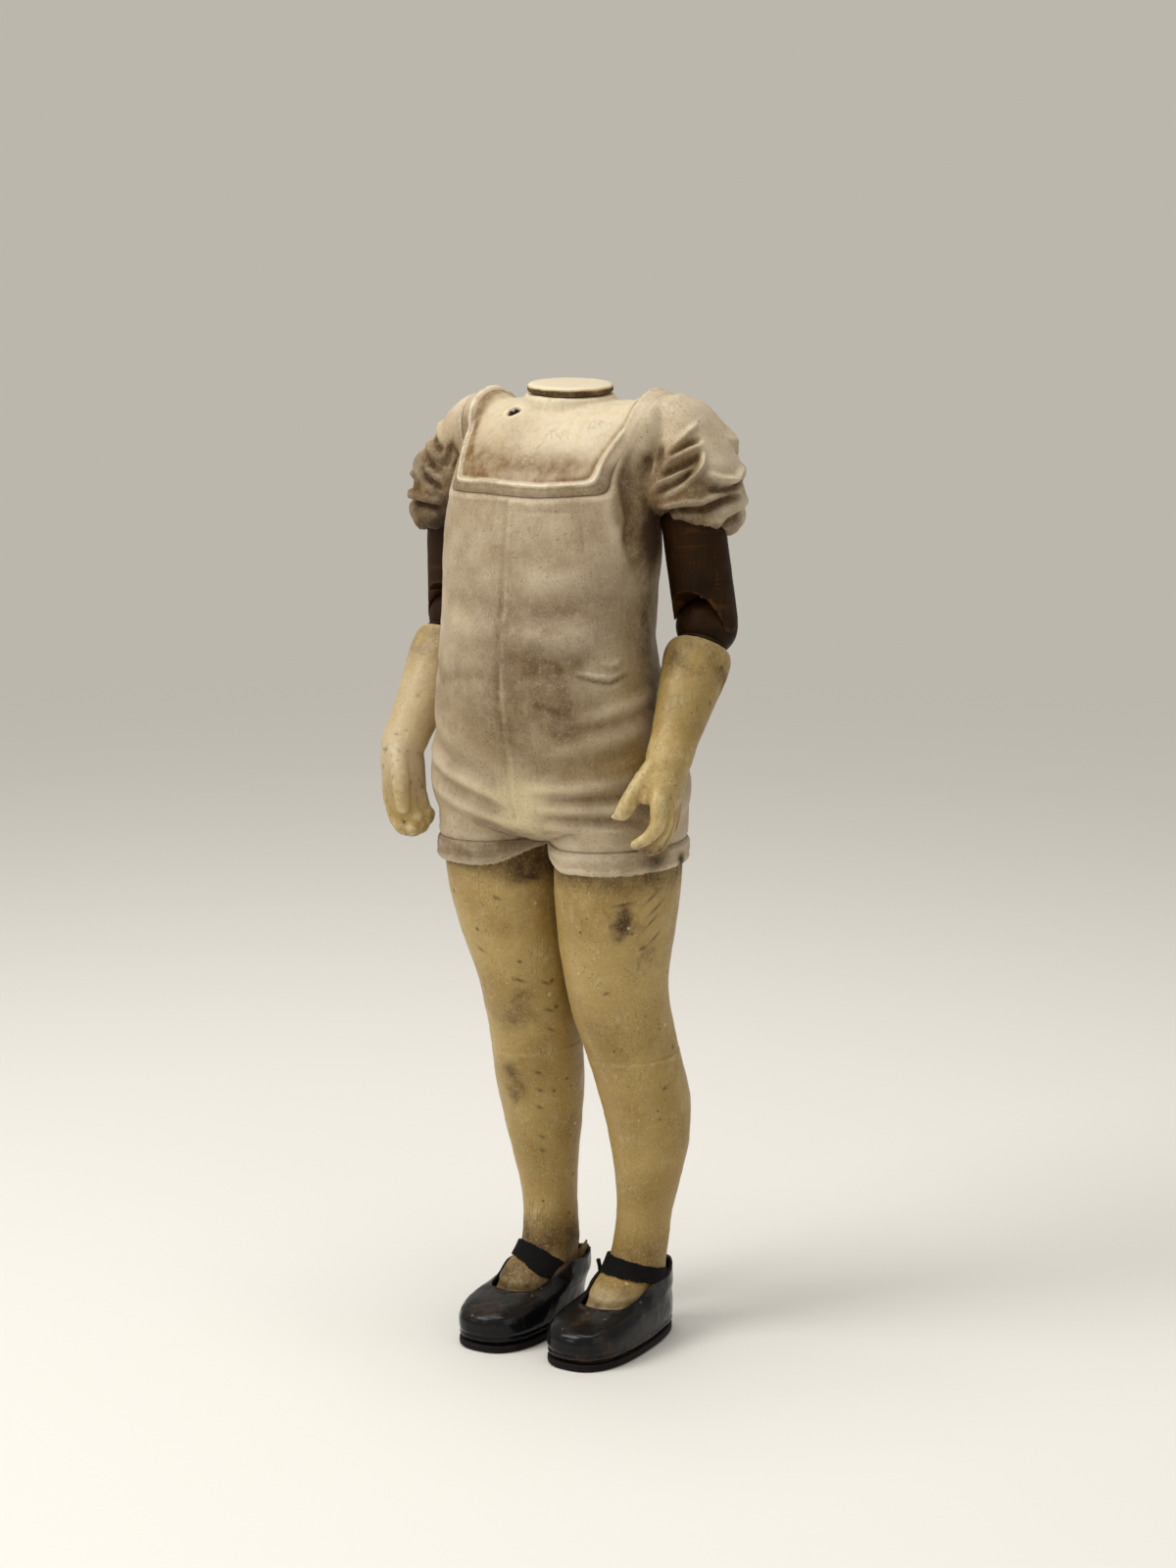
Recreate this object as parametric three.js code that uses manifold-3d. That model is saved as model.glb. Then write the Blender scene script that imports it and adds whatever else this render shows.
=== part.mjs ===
// Headless miniature child mannequin with jointed wooden arms.
// Millimetres, +Z up, the figure faces -Y and its left side is +X. The floor is z = 0.
import * as THREE from 'three';
import { mergeVertices } from 'three/addons/utils/BufferGeometryUtils.js';
import Module from 'manifold-3d';

const wasm = await Module();
wasm.setup();

// Main size: the section tables below are drawn for a figure 200 mm tall
const figureHeight = 200;
const unit = figureHeight / 200;

// Bring every value of a table to the main size
function sized(rows) {
  return rows.map((row) => {
    const pairs = Object.entries(row).map(([key, value]) => [key, value * unit]);
    return Object.fromEntries(pairs);
  });
}

// Clearances
const gap = 0.3;
const pinGap = 0.15;

// Torso: height, centre line, half width and half depth of each section
const torsoSections = sized([
  { z: 107, y: 2.0, wide: 10.0, deep: 4.5 },
  { z: 108, y: 1.7, wide: 17.0, deep: 8.2 },
  { z: 110, y: 1.4, wide: 23.4, deep: 13.2 },
  { z: 113.2, y: 1.0, wide: 27.2, deep: 17.0 },
  { z: 118, y: 0.6, wide: 28.1, deep: 18.5 },
  { z: 126, y: -0.9, wide: 26.6, deep: 18.7 },
  { z: 134, y: -2.8, wide: 24.2, deep: 18.5 },
  { z: 142, y: -4.2, wide: 22.9, deep: 18.2 },
  { z: 150, y: -4.3, wide: 22.1, deep: 17.7 },
  { z: 158, y: -3.4, wide: 22.2, deep: 17.4 },
  { z: 166, y: -2.5, wide: 22.8, deep: 17.5 },
  { z: 174, y: -1.9, wide: 22.7, deep: 17.3 },
  { z: 182, y: -1.2, wide: 21.9, deep: 16.4 },
  { z: 187, y: 0.0, wide: 21.6, deep: 14.8 },
  { z: 191, y: 1.6, wide: 21.2, deep: 12.4 },
  { z: 194, y: 3.2, wide: 20.0, deep: 10.0 },
  { z: 195.6, y: 4.2, wide: 17.4, deep: 7.8 },
  { z: 196.2, y: 4.4, wide: 12.5, deep: 5.2 },
]);
const torsoSquareness = 2.2;
const torsoSides = 40;

// Folds across the hips: rise, half width, and the ends as angles from the front and heights
const foldLow = 110 * unit;
const foldHigh = 140 * unit;
const foldStep = 2 * unit;
const hipFolds = [
  { rise: -0.9, half: 1.9, from: [-74, 133], to: [-6, 122] },
  { rise: 0.7, half: 1.7, from: [-66, 127.6], to: [-4, 118.6] },
  { rise: -0.8, half: 1.5, from: [-60, 123.2], to: [2, 114.8] },
  { rise: 0.8, half: 1.6, from: [11, 121.6], to: [70, 123.6] },
  { rise: -0.8, half: 1.3, from: [12, 119.2], to: [72, 120.6] },
  { rise: 0.7, half: 1.4, from: [12, 117.3], to: [58, 117.2] },
  { rise: -0.7, half: 1.6, from: [24, 132.4], to: [92, 136.6] },
  { rise: 0.7, half: 1.7, from: [38, 135.6], to: [100, 138.8] },
  { rise: -0.8, half: 1.7, from: [108, 126], to: [178, 117.4] },
  { rise: 0.7, half: 1.8, from: [106, 130], to: [178, 121] },
  { rise: -0.8, half: 1.7, from: [-108, 126.4], to: [-178, 117.6] },
  { rise: 0.7, half: 1.8, from: [-106, 130.4], to: [-178, 121.2] },
];

// Neckline: the bare chest lies below the romper inside its edge
const dressThickness = 0.9;
const necklineHalf = 15.6 * unit;
const necklineTopHalf = 18.4 * unit;
const necklineFront = 182.4 * unit;
const necklineBack = 187 * unit;
const chestRows = 7;
const torsoReach = 40;
const sliver = 0.02;

// Shoulder lean: the left shoulder is carried higher than the right
const leanSlope = 0.079;
const leanStart = 6;
const leanFrom = 60;
const leanTo = 132;

// Neck
const neckY = 4.2;
const neckSink = 6.2;
const neckRise = 1.4;
const neckRadius = 8.9;
const neckFlare = 1.6;
const neckFlareRise = 3;
const neckCapRadius = 8.6;
const neckCapHeight = 2.1;
const neckCapEdge = 0.5;
const neckPegRadius = 2.5;
const neckPegInTorso = 12;
const neckPegInCap = 1.3;

// Padded shoulder under the strap
const shoulderX = 18.6;
const shoulderY = 4.6;
const shoulderDrop = 8.2;
const shoulderWide = 6.2;
const shoulderDeep = 9.5;
const shoulderHigh = 9;

// Puff sleeve: sections counted down the sleeve
const sleeveDepthRatio = 1.06;
const sleeveSections = sized([
  { z: 196.4, x: 20.2, y: 6.4, radius: 3.8 },
  { z: 194.2, x: 21.8, y: 7.2, radius: 6.4 },
  { z: 190, x: 23.9, y: 7.9, radius: 8.2 },
  { z: 186, x: 25.3, y: 7.7, radius: 9.6 },
  { z: 183, x: 26.0, y: 7.1, radius: 10.6 },
  { z: 181.4, x: 26.3, y: 6.9, radius: 10.5 },
  { z: 179.6, x: 26.6, y: 6.6, radius: 9.2 },
  { z: 177.6, x: 26.9, y: 6.5, radius: 10.8 },
  { z: 175, x: 27.1, y: 6.4, radius: 10.6 },
  { z: 173.2, x: 27.3, y: 6.3, radius: 9.6 },
  { z: 171.9, x: 27.4, y: 6.3, radius: 8.2 },
]);
// Slant and drop of each sleeve's mouth, highest at the front next to the body
const mouthSlant = { left: 3, right: 1.2 };
const mouthDrop = { left: 0, right: 1.9 };
const mouthHighAt = -40;
const mouthSlantTop = 184 * unit;
const sleeveSides = 20;
const sleeveMouthFlare = 0.9;
const sleeveMouthDepth = 5;

// Shorts cuff round each thigh
const cuffRise = 16;
const cuffDeeper = 2.4;
const cuffHemDrop = 0.3;
const cuffInnerRise = 3.2;
const cuffRiseFrom = 9;
const cuffWall = 0.8;
const cuffBand = 0.4;
const cuffBandHeight = 4.2;

// Leg: height, centre line, half width and half depth of each section, left leg
const legPlug = 8;
const legSections = sized([
  { z: 104, x: 13.3, y: 1.3, wide: 12.6, deep: 14.0 },
  { z: 98, x: 12.9, y: 1.6, wide: 12.4, deep: 13.7 },
  { z: 88, x: 12.0, y: 2.8, wide: 11.5, deep: 12.7 },
  { z: 76, x: 10.8, y: 5.2, wide: 10.2, deep: 10.7 },
  { z: 67, x: 11.2, y: 8.0, wide: 9.9, deep: 9.9 },
  { z: 60, x: 12.0, y: 10.4, wide: 9.5, deep: 9.7 },
  { z: 52, x: 12.8, y: 12.8, wide: 9.3, deep: 9.6 },
  { z: 43, x: 13.0, y: 14.2, wide: 8.3, deep: 8.2 },
  { z: 34, x: 12.5, y: 14.8, wide: 6.6, deep: 7.3 },
  { z: 26, x: 11.6, y: 14.7, wide: 5.6, deep: 6.4 },
]);
const legSides = 22;
const hipDowelRadius = 3;
const hipDowelInLeg = 14;
const hipDowelInTorso = 10;

// Foot and shoe: front, back and half width of each level, left foot
const footX = 10.8;
const shoeWall = 0.9;
const shoeSections = sized([
  { z: 1.9, front: -13.7, back: 21.6, wide: 7.5 },
  { z: 4.5, front: -14.7, back: 22.4, wide: 8.2 },
  { z: 8, front: -13.3, back: 22.4, wide: 8.0 },
  { z: 10.8, front: -7.0, back: 22.2, wide: 7.3 },
  { z: 12.5, front: -1.2, back: 22.0, wide: 6.8 },
  { z: 14.5, front: 3.4, back: 21.8, wide: 6.5 },
  { z: 16.8, front: 6.2, back: 21.6, wide: 6.3 },
]);
const toeBreadth = 0.1;
const shoeSides = 22;
const soleThickness = 1.6;
const soleWelt = 0.15;
const insoleTop = 2.4;
// Top line of the shoe: distance from front to back and height
const topline = sized([
  { y: -7, z: 10.2 },
  { y: 1, z: 11.2 },
  { y: 9, z: 12.4 },
  { y: 15, z: 14.4 },
  { y: 20, z: 16.8 },
]);
const strapBottom = 13.4;
const strapTop = 16.6;
const strapThickness = 0.7;
const strapEndY = 13.6;

// Arm, left side; distances along an arm are counted from the elbow centre
const elbowOutward = 2.1;
const elbowBack = 1.9;
const elbowDrop = 21.1;
const elbowLean = 1.8;
const armInward = 0.08;
const armForward = 0.128;
const upperArmRadius = 6.3;
const upperArmLength = 30.5;
const upperArmEdge = 0.6;
const cupLip = 1.8;
const ballRadius = 6;
const archRadius = 5.3;
const archHeight = 3.5;
const shoulderPegRadius = 2;
const shoulderPegInArm = 9;
const shoulderPegInTorso = 6;
const linkRadius = 0.8;
const linkLength = 15;
const linkEyeRadius = 2.1;
const linkEyeWidth = 1.6;
const elbowPinRadius = 0.8;
const elbowPinLength = 8.4;
const elbowFlexion = 62;
const elbowExtension = 8;
const linkSlotMargin = 18;

// Forearm and hand
const forearmOutward = 0.064;
const forearmForward = 0.6;
const forearmTop = 5;
const forearmProfile = sized([
  { along: 5, radius: 5.8 },
  { along: 5.8, radius: 6.4 },
  { along: 8, radius: 6.7 },
  { along: 12, radius: 6.4 },
  { along: 18, radius: 5.6 },
  { along: 25, radius: 4.7 },
  { along: 31, radius: 4.3 },
]);
const washerThickness = 0.5;
const washerInner = 22;
const washerOuter = 50;
const forearmPegRadius = 1.8;
const forearmPegInBall = 2.6;
const forearmPegLength = 16;
const handForward = 0.22;
const handTurn = 102;
const palmSections = sized([
  { along: -3, wide: 3.6, thick: 3.4 },
  { along: 0, wide: 4.2, thick: 3.6 },
  { along: 3, wide: 4.9, thick: 3.4 },
  { along: 6.5, wide: 5.2, thick: 3.0 },
  { along: 9.5, wide: 4.8, thick: 2.2 },
  { along: 11, wide: 3.8, thick: 1.5 },
]);
// Digits from the index to the little finger and the thumb: radii at root and tip, and points
// across the hand from its middle, down it, and towards its back
const digits = [
  {
    root: 1.7,
    tip: 1.25,
    points: [[-3.4, 5.5, -1.2], [-4, 9.4, -0.8], [-4.2, 12.6, 0], [-4, 15, -0.9], [-3.8, 16.4, -4]],
  },
  { root: 1.65, tip: 1.2, points: [[-1.2, 7, -0.2], [-1.2, 12, 0.6], [-1.2, 17, -0.4], [-1.1, 19, -3.4]] },
  { root: 1.6, tip: 1.15, points: [[1.3, 7, 0], [1.3, 12, 0.7], [1.2, 16.6, -0.2], [1.2, 18.4, -2.9]] },
  { root: 1.5, tip: 1.05, points: [[3.5, 7, 0], [3.7, 11, 0.6], [3.7, 14.4, -0.2], [3.6, 15.8, -1.9]] },
  { root: 2.2, tip: 1.4, points: [[-2.2, 0.5, -0.6], [-3.8, 4, -3.2], [-4.6, 7.2, -5.1], [-4.8, 10, -6.6]] },
];
const tipReach = 0.7;
const tipShare = 0.55;

// Places that follow from the sections
const torsoTop = torsoSections[torsoSections.length - 1].z;
const neckBottom = torsoTop - neckSink;
const neckTop = torsoTop + neckRise;
const sleeveMouth = sleeveSections[sleeveSections.length - 1];
const elbowZ = sleeveMouth.z - elbowDrop;
const thigh = legSections[0];
const legTop = thigh.z + legPlug;

// Shape helpers
const up = new THREE.Vector3(0, 0, 1);
const across = new THREE.Vector3(1, 0, 0);
const latheAxis = new THREE.Vector3(0, 1, 0);

// A point at a distance along a direction
function along(from, direction, distance) {
  return from.clone().addScaledVector(direction, distance);
}

// Turn a geometry into a solid for cutting and joining
function solid(geometry) {
  const bare = geometry.clone();
  bare.deleteAttribute('normal');
  bare.deleteAttribute('uv');
  const welded = mergeVertices(bare, 1e-5);
  const vertProperties = new Float32Array(welded.attributes.position.array);
  const triVerts = new Uint32Array(welded.index.array);
  return new wasm.Manifold(new wasm.Mesh({ numProp: 3, vertProperties, triVerts }));
}

// Turn a solid back into a geometry
function geometryOf(body) {
  const mesh = body.getMesh();
  const points = new Float32Array(mesh.numVert * 3);
  for (let i = 0; i < mesh.numVert; i += 1) {
    points.set(mesh.vertProperties.subarray(i * mesh.numProp, i * mesh.numProp + 3), i * 3);
  }
  const geometry = new THREE.BufferGeometry();
  geometry.setAttribute('position', new THREE.BufferAttribute(points, 3));
  geometry.setIndex(new THREE.BufferAttribute(new Uint32Array(mesh.triVerts), 1));
  return geometry;
}

// Volume inside a closed set of faces, negative when the faces look inwards
function signedVolume(points, faces) {
  let volume = 0;
  for (let i = 0; i < faces.length; i += 3) {
    const [a, b, c] = [points[faces[i]], points[faces[i + 1]], points[faces[i + 2]]];
    volume += a.dot(new THREE.Vector3().crossVectors(b, c)) / 6;
  }
  return volume;
}

// Skin a row of equal rings and close both ends
function loft(rings) {
  const sides = rings[0].length;
  const points = rings.flat();
  const faces = [];
  for (let r = 0; r + 1 < rings.length; r += 1) {
    for (let s = 0; s < sides; s += 1) {
      const a = r * sides + s;
      const b = r * sides + ((s + 1) % sides);
      faces.push(a, b, b + sides, a, b + sides, a + sides);
    }
  }
  [0, rings.length - 1].forEach((end) => {
    const centre = rings[end].reduce((sum, p) => sum.add(p), new THREE.Vector3());
    points.push(centre.divideScalar(sides));
    const hub = points.length - 1;
    for (let s = 0; s < sides; s += 1) {
      const a = end * sides + s;
      const b = end * sides + ((s + 1) % sides);
      faces.push(...(end === 0 ? [hub, b, a] : [hub, a, b]));
    }
  });
  if (signedVolume(points, faces) < 0) {
    faces.reverse();
  }
  const geometry = new THREE.BufferGeometry().setFromPoints(points);
  geometry.setIndex(faces);
  return geometry;
}

// A ring of points round a centre, rounded between an ellipse and a rectangle
function ovalRing(centre, first, second, sides, squareness = 2) {
  const ring = [];
  for (let s = 0; s < sides; s += 1) {
    const angle = (2 * Math.PI * s) / sides;
    const c = Math.cos(angle);
    const d = Math.sin(angle);
    const u = Math.sign(c) * Math.abs(c) ** (2 / squareness);
    const v = Math.sign(d) * Math.abs(d) ** (2 / squareness);
    ring.push(centre.clone().addScaledVector(first, u).addScaledVector(second, v));
  }
  return ring;
}

// A round solid from a profile of radius against distance, set along a direction
function turned(profile, from, direction, sides = 18) {
  const outline = profile.map(([radius, distance]) => new THREE.Vector2(radius, distance));
  const geometry = new THREE.LatheGeometry(outline, sides);
  geometry.applyQuaternion(new THREE.Quaternion().setFromUnitVectors(latheAxis, direction));
  geometry.translate(from.x, from.y, from.z);
  return solid(geometry);
}

// A plain round bar between two distances along a direction
function bar(radius, from, direction, start, end, sides = 14) {
  const profile = [[0, start], [radius, start], [radius, end], [0, end]];
  return turned(profile, from, direction, sides);
}

// A ball
function ball(radius, centre) {
  const geometry = new THREE.SphereGeometry(radius, 18, 12);
  geometry.translate(centre.x, centre.y, centre.z);
  return solid(geometry);
}

// A tapering tube with a rounded tip along a row of points
function digit(points, rootRadius, tipRadius, sides = 6) {
  const rings = points.map((point, i) => {
    const before = points[Math.max(0, i - 1)];
    const after = points[Math.min(points.length - 1, i + 1)];
    const direction = after.clone().sub(before).normalize();
    const first = new THREE.Vector3().crossVectors(direction, across).normalize();
    const second = new THREE.Vector3().crossVectors(direction, first);
    const radius = THREE.MathUtils.lerp(rootRadius, tipRadius, i / (points.length - 1));
    return { point, direction, first, second, radius };
  });
  const last = rings[rings.length - 1];
  const tipPoint = along(last.point, last.direction, tipRadius * tipReach);
  const tip = { ...last, point: tipPoint, radius: tipRadius * tipShare };
  const sections = [...rings, tip].map((ring) => {
    const first = ring.first.clone().multiplyScalar(ring.radius);
    const second = ring.second.clone().multiplyScalar(ring.radius);
    return ovalRing(ring.point, first, second, sides);
  });
  return solid(loft(sections));
}

// Mirror a geometry to the figure's right side and lower it
function mirrored(geometry, drop = 0) {
  const copy = geometry.clone();
  copy.scale(-1, 1, 1);
  copy.translate(0, 0, -drop);
  const index = copy.index.array;
  for (let i = 0; i < index.length; i += 3) {
    [index[i + 1], index[i + 2]] = [index[i + 2], index[i + 1]];
  }
  return copy;
}

// Shoulder lean at a point of the torso
function lean(point) {
  const share = THREE.MathUtils.smoothstep(point.z, leanFrom, leanTo);
  const beyond = Math.sign(point.x) * Math.max(0, Math.abs(point.x) - leanStart);
  return new THREE.Vector3(point.x, point.y, point.z + leanSlope * share * beyond);
}

// Slant of a sleeve's mouth applied to a geometry
function slanted(geometry, slant, drop) {
  const position = geometry.attributes.position;
  const high = THREE.MathUtils.degToRad(mouthHighAt);
  for (let i = 0; i < position.count; i += 1) {
    const p = new THREE.Vector3().fromBufferAttribute(position, i);
    const angle = Math.atan2(Math.abs(p.x) - sleeveMouth.x, sleeveMouth.y - p.y);
    const share = 1 - THREE.MathUtils.smoothstep(p.z, sleeveMouth.z, mouthSlantTop);
    position.setZ(i, p.z + (slant * Math.cos(angle - high) - drop) * share);
  }
  return geometry;
}

// Torso section at a height, between the sections of the table
function sectionAt(z) {
  const next = torsoSections.findIndex((s) => s.z >= z);
  const high = torsoSections[next];
  const low = torsoSections[Math.max(0, next - 1)];
  const share = high.z > low.z ? (z - low.z) / (high.z - low.z) : 0;
  const mix = (key) => THREE.MathUtils.lerp(low[key], high[key], share);
  return { z, y: mix('y'), wide: mix('wide'), deep: mix('deep') };
}

// Rise of the hip folds at an angle from the front and a height
function foldRise(angle, z, radius) {
  const perDegree = (Math.PI / 180) * radius;
  return hipFolds.reduce((sum, fold) => {
    const from = new THREE.Vector2(fold.from[0] * perDegree, fold.from[1] * unit);
    const to = new THREE.Vector2(fold.to[0] * perDegree, fold.to[1] * unit);
    const here = new THREE.Vector2(angle * perDegree, z);
    const run = to.clone().sub(from);
    const share = here.clone().sub(from).dot(run) / run.lengthSq();
    const foot = from.addScaledVector(run, THREE.MathUtils.clamp(share, 0, 1));
    return sum + fold.rise * Math.exp(-((here.distanceTo(foot) / fold.half) ** 2));
  }, 0);
}

// One ring of the trunk, with its folds, shrunk all round by an inset
function trunkRing(section, inset) {
  const { y, z, wide, deep } = section;
  const ring = levelRing(0, y, z, wide - inset, deep - inset, torsoSides, torsoSquareness);
  return ring.map((p) => {
    const angle = THREE.MathUtils.radToDeg(Math.atan2(p.x / wide, (y - p.y) / deep));
    const outward = new THREE.Vector3(p.x, p.y - y, 0);
    const radius = outward.length();
    return p.addScaledVector(outward, foldRise(angle, z, (wide + deep) / 2) / radius);
  });
}

// A horizontal oval section
function levelRing(x, y, z, wide, deep, sides, squareness) {
  const first = new THREE.Vector3(wide, 0, 0);
  const second = new THREE.Vector3(0, deep, 0);
  return ovalRing(new THREE.Vector3(x, y, z), first, second, sides, squareness);
}

// Directions and places of the left arm
const elbow = new THREE.Vector3(
  sleeveMouth.x + elbowOutward,
  sleeveMouth.y + elbowBack,
  elbowZ + elbowLean,
);
const armUp = new THREE.Vector3(-armInward, -armForward, 1).normalize();
const forearmDown = new THREE.Vector3(
  forearmOutward,
  -forearmForward,
  -Math.sqrt(1 - forearmForward ** 2 - forearmOutward ** 2),
);
const elbowAxis = new THREE.Vector3().crossVectors(forearmDown, armUp).normalize();
const armFront = new THREE.Vector3().crossVectors(elbowAxis, armUp).normalize();
if (armFront.y > 0) {
  armFront.negate();
}

// Leg sections from the hip end down to the sole of the foot
function legRings(grow) {
  const plugTop = legTop + grow;
  const rings = [levelRing(thigh.x, thigh.y, plugTop, thigh.wide + grow, thigh.deep + grow, legSides)];
  legSections.forEach((s) => {
    rings.push(levelRing(s.x, s.y, s.z, s.wide + grow, s.deep + grow, legSides));
  });
  return rings;
}

// A shoe level, broader at the toe than at the heel
function shoeRing(level, inset, z, sides) {
  const middle = (level.front + level.back) / 2;
  const half = (level.back - level.front) / 2 - inset;
  const ring = levelRing(0, 0, z, 1, 1, sides, 2.2);
  return ring.map((p) => {
    const breadth = (level.wide - inset) * (1 - toeBreadth * p.y * (half / 18));
    return new THREE.Vector3(footX + p.x * breadth, middle + p.y * half, z);
  });
}

// Shoe-shaped solid, inset from the outer form, between its lowest and highest levels
function shoeForm(inset, low) {
  const floor = { ...shoeSections[0], z: low };
  const levels = shoeSections.filter((s) => s.z > low + 0.2);
  return solid(loft([floor, ...levels].map((s) => shoeRing(s, inset, s.z, shoeSides))));
}

// A block given by its two corners
function block(x0, x1, y0, y1, z0, z1) {
  const geometry = new THREE.BoxGeometry(x1 - x0, y1 - y0, z1 - z0);
  geometry.translate((x0 + x1) / 2, (y0 + y1) / 2, (z0 + z1) / 2);
  return solid(geometry);
}

// The left form and its mirror image as one solid
function bothSides(body, drop = 0) {
  const geometry = geometryOf(body);
  return solid(geometry).add(solid(mirrored(geometry, drop)));
}

// Shoulder lean applied to every point of a geometry
function leaned(geometry) {
  const position = geometry.attributes.position;
  for (let i = 0; i < position.count; i += 1) {
    const p = lean(new THREE.Vector3().fromBufferAttribute(position, i));
    position.setXYZ(i, p.x, p.y, p.z);
  }
  return geometry;
}

// Leg with its foot, grown all round by an allowance
function legForm(grow, withFoot) {
  const rings = legRings(grow);
  if (withFoot) {
    const footInset = shoeWall + gap;
    [...shoeSections].reverse().forEach((s, i, all) => {
      const z = i === all.length - 1 ? insoleTop + gap : s.z;
      rings.push(shoeRing(s, footInset, z, legSides));
    });
  }
  return solid(loft(rings));
}

// Height of a trouser leg's hem, level outside and rising towards the crotch
function hemLevel(x) {
  const share = 1 - THREE.MathUtils.smoothstep(Math.abs(x), 0, cuffRiseFrom);
  return thigh.z - cuffHemDrop + cuffInnerRise * share;
}

// Cuff of one trouser leg with its raised hem band
function cuffForm() {
  const top = thigh.z + cuffRise;
  const levels = [
    { rise: top, extra: 0, deeper: cuffDeeper },
    { rise: cuffBandHeight + cuffBand, extra: 0, deeper: 0 },
    { rise: cuffBandHeight, extra: cuffBand, deeper: 0 },
    { rise: 0, extra: cuffBand, deeper: 0 },
  ];
  const rings = levels.map(({ rise, extra, deeper }) => {
    const reach = gap + cuffWall + extra;
    const deep = thigh.deep + reach + deeper;
    const ring = levelRing(thigh.x, thigh.y, 0, thigh.wide + reach, deep, legSides);
    ring.forEach((p) => {
      p.z = Math.min(top, hemLevel(p.x) + rise);
    });
    return ring;
  });
  return loft(rings);
}

// Space inside the neckline, in front or behind
function necklineSpace(low, y0, y1) {
  const high = torsoTop + neckRise;
  const shape = new THREE.Shape([
    new THREE.Vector2(-necklineHalf, low),
    new THREE.Vector2(necklineHalf, low),
    new THREE.Vector2(necklineTopHalf, high),
    new THREE.Vector2(-necklineTopHalf, high),
  ]);
  const geometry = new THREE.ExtrudeGeometry(shape, { depth: y1 - y0, bevelEnabled: false });
  geometry.rotateX(Math.PI / 2);
  geometry.translate(0, y1, 0);
  return solid(leaned(geometry));
}

// Torso casting
const foldRows = Math.round((foldHigh - foldLow) / foldStep);
const foldSections = Array.from({ length: foldRows + 1 }, (_, i) => sectionAt(foldLow + i * foldStep));
const plainSections = torsoSections.filter((s) => s.z < foldLow || s.z > foldHigh);
const trunkSections = [...plainSections, ...foldSections].sort((a, b) => a.z - b.z);
const trunkRings = trunkSections.map((s) => trunkRing(s, 0));
const chestRings = torsoSections.slice(-chestRows).map((s) => {
  return trunkRing({ ...s, z: s.z - dressThickness / 2 }, dressThickness);
});
const sleeveRings = sleeveSections.map((s) => {
  return levelRing(s.x, s.y, s.z, s.radius, s.radius * sleeveDepthRatio, sleeveSides);
});
const trunk = solid(leaned(loft(trunkRings)));
const shoulderGeometry = new THREE.SphereGeometry(1, 12, 8);
shoulderGeometry.scale(shoulderWide, shoulderDeep, shoulderHigh);
shoulderGeometry.translate(shoulderX, shoulderY, torsoTop - shoulderDrop);
const shoulders = solid(leaned(shoulderGeometry.clone())).add(solid(leaned(mirrored(shoulderGeometry))));
const sleeve = loft(sleeveRings);
const leftSleeve = slanted(sleeve.clone(), mouthSlant.left, mouthDrop.left);
const rightSleeve = slanted(mirrored(sleeve), mouthSlant.right, mouthDrop.right);
const sleeves = solid(leaned(leftSleeve)).add(solid(leaned(rightSleeve)));
const cuff = cuffForm();
const cuffs = solid(leaned(cuff.clone())).add(solid(leaned(mirrored(cuff))));
const neckAxis = new THREE.Vector3(0, neckY, 0);
const neck = turned(
  [
    [0, neckBottom],
    [neckRadius + neckFlare, neckBottom],
    [neckRadius + neckFlare, neckBottom + neckFlareRise],
    [neckRadius + neckFlare / 4, neckTop - neckFlare],
    [neckRadius, neckTop],
    [0, neckTop],
  ],
  neckAxis,
  up,
  24,
);
const mouthAt = elbowDrop / armUp.z;
const socketRadius = upperArmRadius + gap;
const armSocket = turned(
  [
    [0, mouthAt - sleeveMouthDepth],
    [socketRadius + sleeveMouthFlare, mouthAt - sleeveMouthDepth],
    [socketRadius + sleeveMouthFlare, mouthAt],
    [socketRadius, mouthAt + sleeveMouthDepth],
    [socketRadius, upperArmLength + gap],
    [0, upperArmLength + gap],
  ],
  elbow,
  armUp,
);
const shoulderPegTop = upperArmLength + shoulderPegInTorso;
const shoulderBore = bar(
  shoulderPegRadius + pinGap,
  elbow,
  armUp,
  upperArmLength - 1,
  shoulderPegTop + pinGap,
);
const hipTop = new THREE.Vector3(thigh.x, thigh.y, legTop);
const hipBore = bar(hipDowelRadius + pinGap, hipTop, up, -1, hipDowelInTorso + pinGap);
const neckBore = bar(neckPegRadius + pinGap, neckAxis, up, neckTop - neckPegInTorso - pinGap, neckTop + 1);
const armDrop = 2 * elbowLean;
const chest = solid(leaned(loft(chestRings)));
const torso = trunk
  .add(shoulders)
  .add(sleeves)
  .subtract(necklineSpace(necklineFront, -torsoReach, neckY))
  .subtract(necklineSpace(necklineBack, neckY, torsoReach))
  .add(chest)
  .add(neck)
  .add(cuffs)
  .subtract(bothSides(legForm(gap, false)))
  .subtract(bothSides(hipBore))
  .subtract(bothSides(armSocket.add(shoulderBore), armDrop))
  .subtract(neckBore)
  .simplify(sliver);

// Neck cap on its peg
const capBottom = neckTop + gap;
const capTop = capBottom + neckCapHeight;
const neckCap = turned(
  [
    [0, capBottom],
    [neckCapRadius, capBottom],
    [neckCapRadius, capTop - neckCapEdge],
    [neckCapRadius - neckCapEdge, capTop],
    [0, capTop],
  ],
  neckAxis,
  up,
  32,
).subtract(bar(neckPegRadius + pinGap, neckAxis, up, capBottom - 1, capBottom + neckPegInCap + pinGap));
const neckPeg = bar(neckPegRadius, neckAxis, up, neckTop - neckPegInTorso, capBottom + neckPegInCap);

// Leg and its dowel
const leg = legForm(0, true).subtract(
  bar(hipDowelRadius + pinGap, hipTop, up, -hipDowelInLeg - pinGap, 1),
);
const hipDowel = bar(hipDowelRadius, hipTop, up, -hipDowelInLeg, hipDowelInTorso);

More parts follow.
